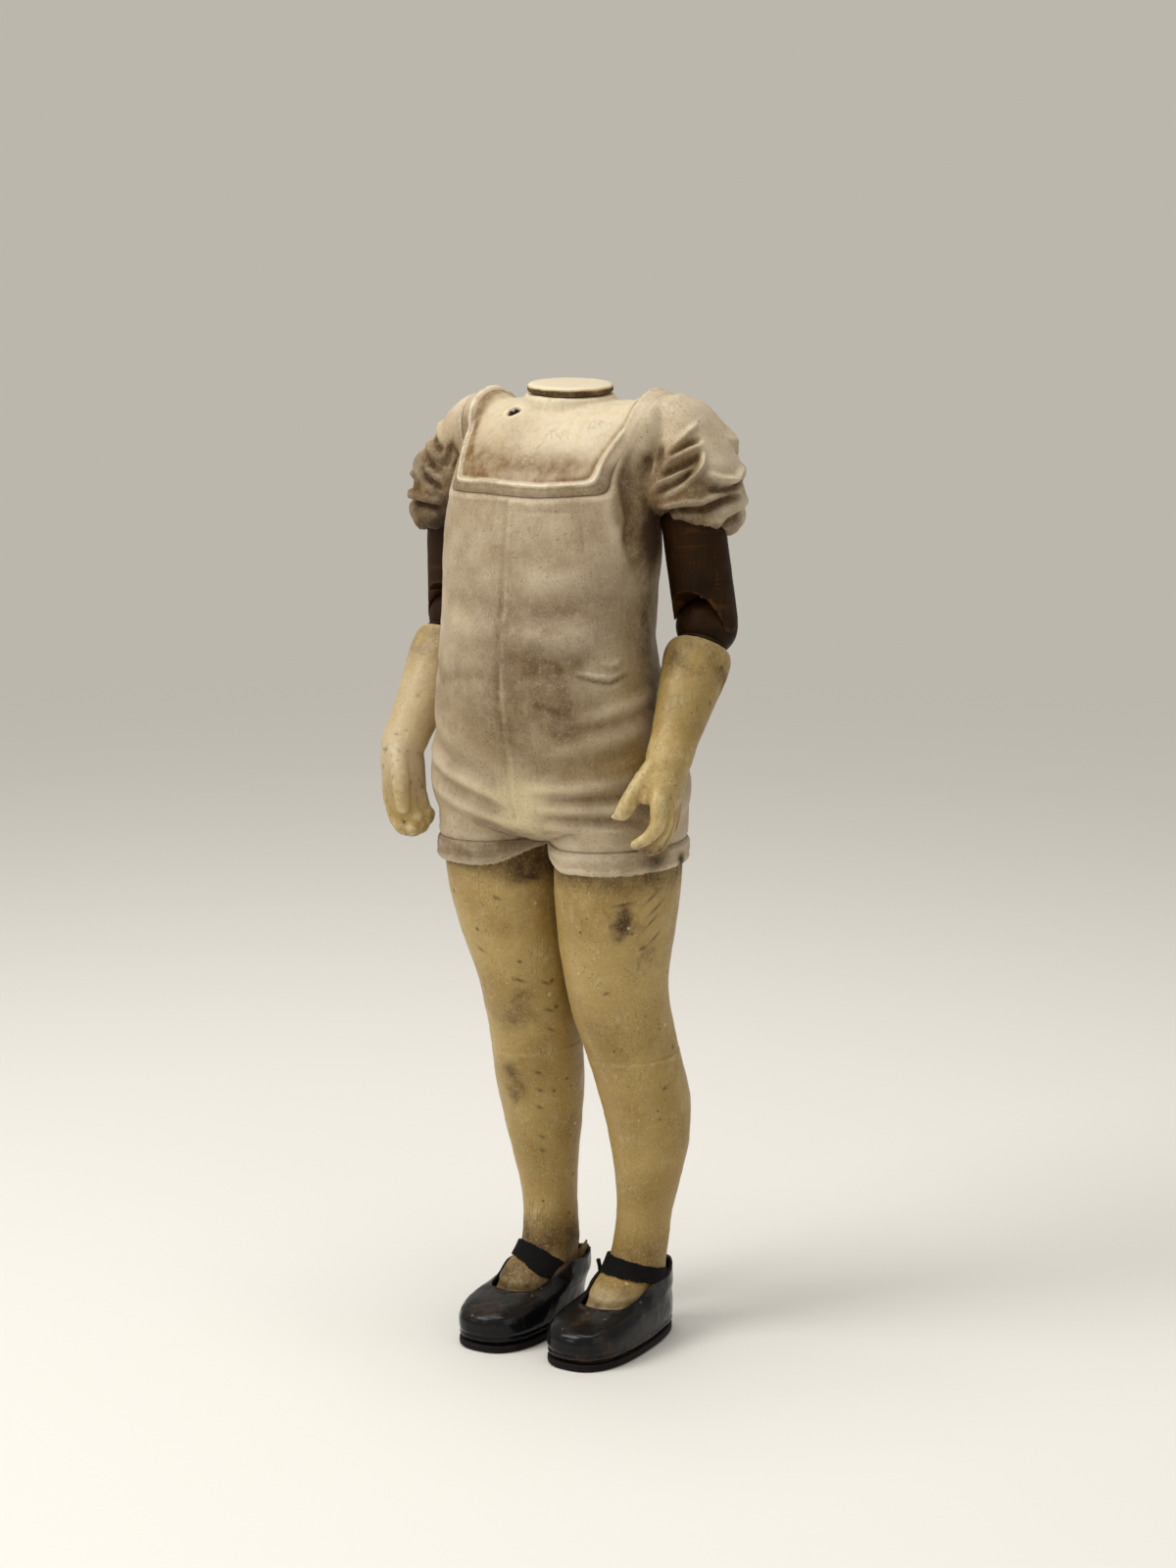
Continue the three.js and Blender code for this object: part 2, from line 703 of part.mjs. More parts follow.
// Shoe upper, open above its top line
const lastLevel = shoeSections[shoeSections.length - 1];
const openTop = lastLevel.z + 3;
const openHalf = 2 * lastLevel.wide;
const toplineShape = new THREE.Shape([
  ...topline.map((p) => new THREE.Vector2(p.y, p.z)),
  new THREE.Vector2(topline[topline.length - 1].y, openTop),
  new THREE.Vector2(topline[0].y, openTop),
]);
const toplineGeometry = new THREE.ExtrudeGeometry(toplineShape, {
  depth: 2 * openHalf,
  bevelEnabled: false,
});
const forward = new THREE.Vector3(0, 1, 0);
toplineGeometry.applyMatrix4(new THREE.Matrix4().makeBasis(forward, up, across));
toplineGeometry.translate(footX - openHalf, 0, 0);
const ankleOpening = solid(
  loft([lastLevel.z - 1, openTop].map((z) => shoeRing(lastLevel, shoeWall, z, shoeSides))),
);
const shoeUpper = shoeForm(0, soleThickness + gap)
  .subtract(shoeForm(shoeWall, insoleTop))
  .subtract(ankleOpening)
  .subtract(solid(toplineGeometry));

// Sole plate
const soleLevel = shoeSections[1];
const shoeSole = solid(
  loft([0, soleThickness].map((z) => shoeRing(soleLevel, -soleWelt, z, shoeSides))),
);

// Ankle strap that follows the form of the shoe
const strapSlab = block(footX - 20, footX + 20, -30, strapEndY, strapBottom, strapTop);
const shoeStrap = shoeForm(-gap - strapThickness, soleThickness)
  .subtract(shoeForm(-gap, soleThickness - 1))
  .intersect(strapSlab);

// Upper arm with cup, arch and bores
const upperArmBlank = turned(
  [
    [0, cupLip],
    [upperArmRadius, cupLip],
    [upperArmRadius, upperArmLength - upperArmEdge],
    [upperArmRadius - upperArmEdge, upperArmLength],
    [0, upperArmLength],
  ],
  elbow,
  armUp,
  20,
);
const cup = ball(ballRadius + gap, elbow);
const arch = bar(archRadius, along(elbow, armUp, archHeight), armFront, 0, upperArmRadius + 2);
const linkBore = bar(linkRadius + pinGap, elbow, armUp, 0, linkLength + pinGap, 12);
const pegBore = bar(
  shoulderPegRadius + pinGap,
  elbow,
  armUp,
  upperArmLength - shoulderPegInArm - pinGap,
  upperArmLength + 1,
);
const upperArm = upperArmBlank.subtract(cup).subtract(arch).subtract(linkBore).subtract(pegBore);
const shoulderPeg = bar(
  shoulderPegRadius,
  elbow,
  armUp,
  upperArmLength - shoulderPegInArm,
  shoulderPegTop,
);

// Eye rod that holds the ball in its cup
const eye = bar(linkEyeRadius, elbow, elbowAxis, -linkEyeWidth / 2, linkEyeWidth / 2);
const eyeHole = bar(elbowPinRadius + pinGap, elbow, elbowAxis, -linkEyeWidth, linkEyeWidth, 10);
const elbowLink = bar(linkRadius, elbow, armUp, linkEyeRadius * 0.7, linkLength, 12)
  .add(eye)
  .subtract(eyeHole);
const elbowPin = bar(elbowPinRadius, elbow, elbowAxis, -elbowPinLength / 2, elbowPinLength / 2, 10);

// Ball with a slot in which the eye rod swings
const slotHalf = linkEyeWidth / 2 + gap;
const slotReach = ballRadius + 2;
const slotShape = new THREE.Shape();
const slotFrom = THREE.MathUtils.degToRad(90 - elbowFlexion - linkSlotMargin);
const slotTo = THREE.MathUtils.degToRad(90 + elbowExtension + linkSlotMargin);
slotShape.moveTo(0, 0);
slotShape.lineTo(slotReach * Math.cos(slotFrom), slotReach * Math.sin(slotFrom));
slotShape.absarc(0, 0, slotReach, slotFrom, slotTo, false);
slotShape.closePath();
const slotGeometry = new THREE.ExtrudeGeometry(slotShape, {
  depth: 2 * slotHalf,
  bevelEnabled: false,
  curveSegments: 6,
});
slotGeometry.translate(0, 0, -slotHalf);
const slotSide = new THREE.Vector3().crossVectors(armFront, armUp);
slotGeometry.applyMatrix4(new THREE.Matrix4().makeBasis(armFront, armUp, slotSide));
slotGeometry.translate(elbow.x, elbow.y, elbow.z);
const eyePocket = bar(linkEyeRadius + gap, elbow, elbowAxis, -slotHalf, slotHalf);
const pinHalf = elbowPinLength / 2 + pinGap;
const pinBore = bar(elbowPinRadius + pinGap, elbow, elbowAxis, -pinHalf, pinHalf, 10);
const ballPegBore = bar(
  forearmPegRadius + pinGap,
  elbow,
  forearmDown,
  linkEyeRadius + forearmPegInBall - pinGap,
  ballRadius + 1,
);
const elbowBall = ball(ballRadius, elbow)
  .subtract(solid(slotGeometry))
  .subtract(eyePocket)
  .subtract(pinBore)
  .subtract(ballPegBore);
const forearmPegStart = linkEyeRadius + forearmPegInBall;
const forearmPeg = bar(forearmPegRadius, elbow, forearmDown, forearmPegStart, forearmPegLength);

// Washer between ball and forearm, a slice of a spherical shell
const washerIn = ballRadius + gap;
const washerOut = washerIn + washerThickness;
const washerSteps = 3;
const washerAngles = Array.from({ length: washerSteps + 1 }, (_, i) => {
  return THREE.MathUtils.degToRad(THREE.MathUtils.lerp(washerOuter, washerInner, i / washerSteps));
});
const washerArc = (radius) => washerAngles.map((a) => [radius * Math.sin(a), radius * Math.cos(a)]);
const washerProfile = [...washerArc(washerOut), ...washerArc(washerIn).reverse()];
const elbowWasher = turned([...washerProfile, washerProfile[0]], elbow, forearmDown);

// Forearm with dish and bore, joined to the hand
const forearmOutline = [
  [0, forearmTop],
  ...forearmProfile.map((p) => [p.radius, p.along]),
  [0, forearmProfile[forearmProfile.length - 1].along],
];
const forearmBlank = turned(forearmOutline, elbow, forearmDown);
const dish = ball(washerOut + gap, elbow);
const forearmBore = bar(
  forearmPegRadius + pinGap,
  elbow,
  forearmDown,
  forearmTop - 1,
  forearmPegLength + pinGap,
);
const wristAt = forearmProfile[forearmProfile.length - 1].along;
const wrist = along(elbow, forearmDown, wristAt);
const handDown = new THREE.Vector3(0, -handForward, -1).normalize();
const turn = THREE.MathUtils.degToRad(handTurn);
const handWide = new THREE.Vector3(Math.cos(turn), Math.sin(turn), 0);
const handBack = new THREE.Vector3().crossVectors(handWide, handDown).normalize();
if (handBack.x < 0) {
  handBack.negate();
}
const palmRings = palmSections.map((s) => {
  const centre = along(wrist, handDown, s.along);
  const first = handWide.clone().multiplyScalar(s.wide);
  const second = handBack.clone().multiplyScalar(s.thick);
  return ovalRing(centre, first, second, 14, 2.4);
});
const palm = solid(loft(palmRings));

// A digit from its points across, down and towards the back of the hand
function digitOf({ root, tip, points }) {
  const path = points.map(([wide, down, back]) => {
    const point = along(along(wrist, handWide, wide * unit), handDown, down * unit);
    return point.addScaledVector(handBack, back * unit);
  });
  return digit(path, root * unit, tip * unit);
}
let forearm = forearmBlank.subtract(dish).subtract(forearmBore).add(palm);
digits.forEach((row) => {
  forearm = forearm.add(digitOf(row));
});

// Colours of the materials
const colours = {
  romper: 0xb5a58c,
  casting: 0xd2b983,
  wood: 0x33210f,
  dowel: 0xb08a58,
  steel: 0x9a9a98,
  shoe: 0x2c2a2a,
  sole: 0x1e1915,
  washer: 0x2a1d12,
};

// Add a named piece to the figure
const figure = new THREE.Group();
figure.name = 'mannequin';
function place(name, geometry, colour) {
  const mesh = new THREE.Mesh(
    geometry,
    new THREE.MeshStandardMaterial({ color: colour, roughness: 0.7 }),
  );
  mesh.name = name;
  figure.add(mesh);
}

// Add a left piece and its mirror image
function placePair(name, body, colour, drop = 0) {
  const geometry = geometryOf(body);
  place(`left_${name}`, geometry, colour);
  place(`right_${name}`, mirrored(geometry, drop), colour);
}

place('torso', geometryOf(torso), colours.romper);
place('neck_cap', geometryOf(neckCap), colours.casting);
place('neck_peg', geometryOf(neckPeg), colours.dowel);
placePair('leg', leg, colours.casting);
placePair('hip_dowel', hipDowel, colours.dowel);
placePair('shoe_upper', shoeUpper, colours.shoe);
placePair('shoe_sole', shoeSole, colours.sole);
placePair('shoe_strap', shoeStrap, colours.shoe);
placePair('upper_arm', upperArm, colours.wood, armDrop);
placePair('shoulder_peg', shoulderPeg, colours.dowel, armDrop);
placePair('elbow_link', elbowLink, colours.steel, armDrop);
placePair('elbow_pin', elbowPin, colours.steel, armDrop);
placePair('elbow_ball', elbowBall, colours.wood, armDrop);
placePair('elbow_washer', elbowWasher, colours.washer, armDrop);
placePair('forearm_peg', forearmPeg, colours.dowel, armDrop);
placePair('forearm', forearm, colours.casting, armDrop);

export default figure;
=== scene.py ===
import itertools
import math

import bpy
import numpy as np
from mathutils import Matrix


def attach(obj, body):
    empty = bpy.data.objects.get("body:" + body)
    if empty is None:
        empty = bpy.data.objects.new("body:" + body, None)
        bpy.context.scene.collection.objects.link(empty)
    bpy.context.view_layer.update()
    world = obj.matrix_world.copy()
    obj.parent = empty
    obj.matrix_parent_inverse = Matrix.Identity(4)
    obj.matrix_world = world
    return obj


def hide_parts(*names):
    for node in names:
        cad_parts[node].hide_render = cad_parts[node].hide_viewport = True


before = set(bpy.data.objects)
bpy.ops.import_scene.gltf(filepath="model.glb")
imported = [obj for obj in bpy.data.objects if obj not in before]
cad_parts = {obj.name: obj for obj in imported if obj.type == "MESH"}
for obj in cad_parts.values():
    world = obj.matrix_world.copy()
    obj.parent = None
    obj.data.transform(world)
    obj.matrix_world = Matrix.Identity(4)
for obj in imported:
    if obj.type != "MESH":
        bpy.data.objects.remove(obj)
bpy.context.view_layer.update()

bl_info = {
    "name": "Headless child mannequin",
    "version": (1, 0, 0),
    "blender": (4, 5, 0),
    "location": "View3D > Sidebar > Mannequin",
    "description": "Headless miniature child mannequin with jointed wooden arms",
    "category": "Object",
}

MM = 0.001
SIDES = {"left": 1, "right": -1}
# Rounds in which the stored hollows are evened out
HOLLOW_ROUNDS = 3

# Torso sections: height, centre line, half width, half depth, squareness
TRUNK = (
    (107.0, 2.0, 10.0, 4.5, 2.0),
    (108.0, 1.7, 17.0, 8.2, 2.0),
    (110.0, 1.4, 23.4, 13.2, 2.1),
    (113.2, 1.0, 26.8, 17.0, 2.2),
    (118.0, 0.6, 27.8, 18.5, 2.2),
    (126.0, -0.9, 26.6, 18.7, 2.2),
    (134.0, -2.8, 24.2, 18.5, 2.2),
    (142.0, -4.2, 22.9, 18.2, 2.2),
    (150.0, -4.3, 22.1, 17.7, 2.2),
    (158.0, -3.4, 22.2, 17.4, 2.2),
    (166.0, -2.5, 22.8, 17.5, 2.15),
    (174.0, -1.9, 22.7, 17.3, 2.05),
    (182.0, -1.2, 21.9, 16.4, 2.0),
    (187.0, 0.0, 21.6, 14.8, 2.0),
    (191.0, 1.6, 21.2, 12.4, 2.0),
    (194.0, 3.2, 20.0, 10.0, 2.0),
    (195.6, 4.2, 17.4, 7.8, 2.0),
    (196.2, 4.4, 12.5, 5.2, 2.0),
)

# Shoulder lean: the left shoulder is carried higher than the right
LEAN_SLOPE = 0.079
LEAN_START = 6.0
LEAN_SPAN = (60.0, 132.0)
LEAN_ROUNDS = 4

# Neck and its cap: radius at each height, about their own axis
NECK_Y = 4.2
NECK_CAP = (
    (0, 197.9), (7.6, 197.9), (8.3, 197.95), (8.55, 198.2), (8.6, 198.7), (8.55, 199.2),
    (8.3, 199.45), (7.9, 199.6), (6, 199.8), (3, 199.95), (0, 200.0),
)
NECK = ((10.9, 189.0), (10.7, 192.6), (10.0, 194.6), (9.3, 196.2), (8.95, 197.2), (8.6, 197.6))

# Padded shoulder: centre and radii
SHOULDER_AT = (18.9, 4.6, 188.6)
SHOULDER_SIZE = (6.4, 9.6, 9.2)

# Small hole below the neck
HOLE = np.array((-7.6, -4.8, 194.3))

# Puff sleeve: height, centre, radius
SLEEVE = (
    (196.4, 20.2, 6.4, 3.8),
    (194.2, 21.8, 7.2, 6.4),
    (190.0, 23.9, 7.9, 8.2),
    (186.0, 25.3, 7.7, 9.5),
    (181.5, 26.3, 6.9, 10.3),
    (178.0, 26.8, 6.5, 10.4),
    (175.2, 27.1, 6.4, 10.0),
    (173.2, 27.3, 6.3, 9.3),
    (171.9, 27.4, 6.3, 8.2),
)
SLEEVE_DEPTH = 1.06
# Middle of the sleeve and of its mouth seen from above, left side
SLEEVE_MIDDLE = (26.8, 6.6)
MOUTH_MIDDLE = (27.2, 6.4)
# Sleeve mouth: height, and how far and which way round it slants
MOUTH_HEIGHT = 171.9
MOUTH_SLANT = {"left": 3.0, "right": 1.2}
MOUTH_DROP = {"left": 0.0, "right": 1.9}
MOUTH_HIGH_AT = -40.0

# Leg and foot: height, centre, half width, half depth, squareness, left leg
LEG = (
    (112.0, 13.3, 1.3, 12.6, 14.0, 2.0),
    (104.0, 13.3, 1.3, 12.6, 14.0, 2.0),
    (98.0, 12.9, 1.6, 12.4, 13.7, 2.0),
    (88.0, 12.0, 2.8, 11.5, 12.7, 2.0),
    (76.0, 10.8, 5.2, 10.2, 10.7, 2.0),
    (67.0, 11.2, 8.0, 9.9, 9.9, 2.0),
    (60.0, 12.0, 10.4, 9.5, 9.7, 2.0),
    (52.0, 12.8, 12.8, 9.3, 9.6, 2.0),
    (43.0, 13.0, 14.2, 8.3, 8.2, 2.0),
    (34.0, 12.5, 14.8, 6.6, 7.3, 2.0),
    (26.0, 11.6, 14.7, 5.6, 6.4, 2.0),
    (20.5, 11.1, 14.3, 5.4, 6.6, 2.0),
    (16.8, 10.8, 13.6, 5.4, 7.0, 2.1),
    (14.5, 10.8, 12.1, 5.5, 8.5, 2.1),
    (12.7, 10.8, 10.3, 5.8, 10.4, 2.2),
    (11.4, 10.8, 9.6, 6.1, 10.9, 2.3),
    (10.0, 10.8, 9.4, 6.3, 11.1, 2.3),
    (8.4, 10.8, 8.4, 6.5, 11.9, 2.2),
    (6.0, 10.8, 6.4, 6.7, 13.9, 2.2),
    (2.7, 10.8, 5.5, 6.4, 14.5, 2.2),
)
THIGH = LEG[1]

# Shorts cuff: its hem is level outside and rises towards the crotch
CUFF_TOP = 114.0
HEM_HEIGHT = 103.7
HEM_INNER_RISE = 3.2
HEM_RISE_FROM = 9.0
CUFF_REACH = 0.85
# Stored height above the hem where there is no hem
NO_HEM = 99
# Cuff rings: share of the way up from the hem, and reach beyond the common one
CUFF_RINGS = (
    (1, 0.1), (0.7, 0.1), (0.45, 0.15), (0.3, 0.2), (0.15, 0.25), (0.06, 0.25), (0.02, 0.15), (0, -0.2),
)
# Sockets: distance from the arm's axis, depth, gap round the thigh, depth
ARM_SOCKET = (7.3, 6.7)
ARM_SOCKET_DEPTH = 5.0
THIGH_GAP = 0.3
THIGH_SOCKET_DEPTH = 4.0

# Millimetres to a degree round the trunk and the sleeve, and for the legs' spots and nicks
TRUNK_DEGREE = 0.37
SLEEVE_DEGREE = 0.19
SPOT_DEGREE = 0.19
NICK_DEGREE = 0.18
NICK_WIDTH = 0.35

# Shoe: height, front, back, half width of each level, left foot
FOOT_X = 10.8
SHOE = (
    (1.6, -13.8, 21.3, 7.4),
    (2.6, -14.6, 22.1, 8.0),
    (4.5, -14.9, 22.4, 8.4),
    (6.5, -14.6, 22.5, 8.4),
    (7.8, -13.5, 22.4, 8.2),
    (8.6, -11.6, 22.3, 8.0),
    (9.2, -8.6, 22.3, 7.7),
    (9.6, -5.4, 22.2, 7.5),
    (10.2, -2.2, 22.1, 7.3),
    (12.5, 1.0, 22.0, 6.9),
    (14.5, 4.4, 21.8, 6.5),
    (17.4, 6.8, 21.6, 6.3),
)
SHOE_SQUARE = 2.55
TOE_BREADTH = 0.15 / 18
SHOE_COLUMNS = 200
# Shoe wall: thickness, height of the insole, and of the top line at the toe and along the flanks
SHOE_WALL = 0.9
INSOLE_HEIGHT = 3.0
TOP_LINE = 9.9
FLANK_RISE = 2.8
# Way in which the torn right counter stands out: inwards and to the back
FLARE_WAY = (0.85, 0.53)
# Sole: level of the shoe that gives its outline, how far it stands out, height and inset of its edge
SOLE_OUTLINE = 4.0
SOLE_WELT = 0.1
SOLE_EDGE = (
    (0.0, 1.6), (0.0, 0.75), (0.12, 0.4), (0.35, 0.2), (0.7, 0.12),
    (0.9, 0.25), (1.1, 0.15), (1.4, 0.15), (1.55, 0.3), (1.6, 1.2),
)
# Heel counter: how far it stands above the flanks
HEEL_RISE = {"left": 2.3, "right": 0.9}
# Strap: drop of its ends, rise over the instep, and how much higher it is at the inner end
STRAP_LIE = {"left": (0.7, 1.9, 0.5), "right": (2.5, 3.2, -1.3)}
# Strap: angles in degrees from the inner flank round the front to the outer, and gap to the leg
STRAP_SWEEP = (160, 382)
STRAP_GAP = 0.25
# Loose sliver of the left strap, and the spike of casting at the right heel, as drawn on the left
STRAP_SLIVER = ((4.9, 8.5, 12.0), (4.75, 8.5, 13.4), (4.5, 8.5, 14.8), (4.2, 8.4, 16.2))
SLIVER_RADII = (0.4, 0.42, 0.36, 0.4)
HEEL_SPIKE = ((6.7, 18.0, 11.2), (6.3, 18.8, 12.8), (5.9, 19.3, 14.2), (5.6, 19.6, 15.4))
SPIKE_RADII = (1.1, 0.75, 0.4, 0.06)

# Arm: elbow centres, slopes of the left arm, and lengths counted from the elbow
ELBOW = {"left": np.array((29.5, 8.2, 152.6)), "right": np.array((-29.5, 8.2, 149.0))}
ARM_INWARD = 0.08
ARM_FORWARD = 0.128
ARM_RADIUS = 6.3
ARM_LENGTH = 30.5
CUP_LIP = 1.8
CUP_RADIUS = 6.3
BALL_RADIUS = 6.2
ARCH_RADIUS = 5.3
ARCH_HEIGHT = 3.5
ARCH_SLACK = 0.4
# Upper arm: flat rim and bevel of its top, start, floor and wall of the skin in its cup
ARM_RIM = 0.5
ARM_BEVEL = 0.12
CUP_START = 0.12
CUP_FLOOR = 0.02
CUP_WALL = 0.2
# Radii of the flat roof over the arch, from its edge in
ARCH_ROOF = (6.05, 0.14)
FOREARM_OUTWARD = 0.064
FOREARM_FORWARD = 0.6
WASHER_RADII = (6.3, 6.8)
WASHER_ANGLES = (22.0, 50.0)
FOREARM = (
    (0.0, 7.2), (2.0, 6.9), (3.5, 6.3), (4.6, 5.5), (5.1, 5.05), (5.6, 4.95), (6.05, 5.2),
    (6.4, 5.9), (6.65, 7.0), (6.7, 8.4), (6.4, 12.0), (5.6, 18.0), (4.75, 25.0), (4.35, 31.0),
    (3.4, 33.5), (0.0, 34.0),
)
WRIST = 31.0
HAND_TURN = 102.0
# Hand: which way it falls, with x outwards, and how the palm drifts to its back as it falls
HAND_FALL = {"left": (0.0, -0.22, -1.0), "right": (-0.18, -0.04, -1.0)}
PALM_DRIFT = {"left": 0.1, "right": 0.04}
# Palm: distance below the wrist, half breadth, half thickness
PALM = {
    "left": (
        (-6.0, 3.0, 3.0), (-3.0, 3.9, 3.7), (0.0, 4.3, 3.8), (3.0, 4.8, 3.7), (5.5, 4.7, 3.2),
        (7.5, 3.9, 2.4), (8.6, 2.6, 1.5),
    ),
    "right": (
        (-6.0, 3.0, 3.0), (-3.0, 3.9, 3.7), (0.0, 4.4, 3.9), (4.0, 4.7, 3.9), (8.0, 4.6, 3.5),
        (12.0, 4.2, 3.1), (14.6, 3.6, 2.5), (16.0, 2.2, 1.5),
    ),
}
# Digits: radius at the root and at the tip, and points of (across from the thumb side, down,
# towards the back). Left: fingers, thumb, web and the thumb's broken tip. Right: fingers, thumb
# and two pads that fill the fist.
DIGITS = {
    "left": (
        (2.25, 1.1, ((-1.2, -0.5, -0.4), (-2.8, 3.2, 0.2), (-4.0, 6.0, 0.5), (-4.5, 8.3, 0.9),
                     (-4.6, 10.4, 1.0), (-4.5, 12.5, 0.0), (-4.3, 14.2, -1.8), (-4.1, 15.2, -3.3))),
        (2.1, 1.2, ((0.0, 1.0, 0.2), (-1.4, 5.2, 0.8), (-1.5, 8.2, 1.2), (-1.5, 11.4, 1.2),
                    (-1.5, 14.0, 0.5), (-1.5, 15.9, -0.9), (-1.4, 16.7, -2.3))),
        (2.0, 1.2, ((1.0, 1.5, 0.4), (1.2, 5.8, 0.9), (1.2, 9.0, 1.2), (1.2, 12.2, 1.2),
                    (1.2, 14.8, 0.7), (1.2, 16.6, -0.4), (1.2, 17.3, -1.6))),
        (1.9, 1.1, ((2.4, 1.5, 0.5), (3.2, 5.6, 1.0), (3.4, 8.6, 1.3), (3.5, 11.6, 1.4),
                    (3.5, 14.0, 0.9), (3.5, 15.8, 0.0), (3.4, 16.6, -1.0))),
        (2.2, 1.6, ((-0.4, -3.2, -0.5), (-1.8, -0.4, -1.8), (-3.4, 2.6, -3.4), (-4.5, 5.5, -4.8),
                    (-5.0, 8.0, -5.9), (-5.1, 9.1, -6.4))),
        (2.5, 1.6, ((-1.6, 1.0, -0.8), (-3.2, 3.6, -1.8), (-4.0, 5.6, -2.3))),
        (0.95, 0.6, ((-5.1, 9.0, -6.2), (-5.2, 9.9, -7.2), (-5.2, 10.0, -8.2))),
    ),
    "right": (
        (2.1, 1.4, ((-2.0, 3.0, 0.8), (-2.6, 7.0, 1.5), (-2.7, 11.0, 1.7), (-2.7, 14.2, 0.9),
                    (-2.6, 16.2, -0.9), (-2.4, 16.2, -2.5))),
        (2.1, 1.4, ((-0.6, 3.0, 0.8), (-0.8, 7.4, 1.7), (-0.9, 11.6, 1.9), (-0.9, 15.0, 0.9),
                    (-0.9, 16.6, -0.9), (-0.8, 16.3, -2.3), (-0.7, 15.5, -3.0))),
        (2.1, 1.4, ((0.8, 3.0, 0.8), (0.9, 7.4, 1.7), (0.9, 11.6, 1.9), (0.9, 15.0, 0.8),
                    (0.9, 16.4, -1.0), (0.9, 15.9, -2.4), (0.9, 14.9, -3.1))),
        (1.9, 1.3, ((2.2, 3.0, 0.8), (2.6, 7.0, 1.5), (2.7, 10.8, 1.6), (2.7, 13.8, 0.7),
                    (2.7, 15.2, -0.8), (2.7, 14.9, -2.1), (2.7, 13.9, -2.9))),
        (2.2, 1.5, ((-0.8, -2.6, -0.6), (-2.6, 1.0, -1.7), (-3.5, 4.6, -2.3), (-3.8, 8.4, -2.5),
                    (-3.6, 11.6, -2.2))),
        (2.5, 2.0, ((-1.3, 8.0, -0.6), (-1.3, 11.2, -1.2), (-1.2, 13.4, -1.9), (-1.1, 14.2, -2.4))),
        (2.5, 2.0, ((1.4, 8.0, -0.6), (1.4, 11.2, -1.2), (1.4, 13.0, -1.9), (1.4, 13.7, -2.4))),
    ),
}


def tint(red, green, blue):
    """Linear colour of an sRGB colour given from 0 to 255."""
    share = np.array((red, green, blue)) / 255
    curve = ((share + 0.055) / 1.055) ** 2.4
    return tuple(float(v) for v in np.where(share <= 0.04045, share / 12.92, curve))


# Colours of dust and scuffs on the shoes, and of the darkest stain, already linear
DUST = tint(120, 104, 84)
SCUFF = tint(130, 122, 112)
DARKEST_STAIN = (0.006, 0.004, 0.002)


def length(name, default, description):
    """A size in millimetres as a property in metres."""
    return bpy.props.FloatProperty(
        name=name, default=default * MM, description=description, unit="LENGTH", precision=5
    )


def colour(name, red, green, blue, description):
    """A colour property from sRGB values."""
    return bpy.props.FloatVectorProperty(
        name=name, default=tint(red, green, blue), description=description,
        subtype="COLOR", size=3, min=0, max=1,
    )


class MannequinSizes(bpy.types.PropertyGroup):
    """Sizes of the dress and of the worked surface."""

    torso_cell: length("Torso cell", 0.46, "Cell of the fused torso skin")
    hand_cell: length("Hand cell", 0.24, "Cell of the fused forearm skin")
    neckline_half: length("Neckline half width", 15.6, "Middle to the inner edge of a strap")
    neckline_height: length("Neckline height", 182.4, "Height of the neckline's lower edge")
    back_neckline: length("Back neckline", 187.0, "Height of the neckline at the back")
    band_width: length("Neckline band", 2.7, "Width of the band along the neckline")
    band_rise: length("Band rise", 0.55, "How far the dress stands off the skin")
    hem_height: length("Hem band", 4.2, "Height of the turned-up hem of the shorts")
    fold_depth: length("Fold depth", 1.0, "Depth of the deepest folds of the dress")
    sock_height: length("Sock line", 60.6, "Height of the moulded sock line")
    strap_bottom: length("Strap bottom", 13.9, "Lower edge of the ankle strap")
    strap_top: length("Strap top", 16.5, "Upper edge of the ankle strap")
    strap_thickness: length("Strap thickness", 0.7, "Thickness of the ankle strap")
    sole_thickness: length("Sole thickness", 1.6, "Thickness of the sole plate")


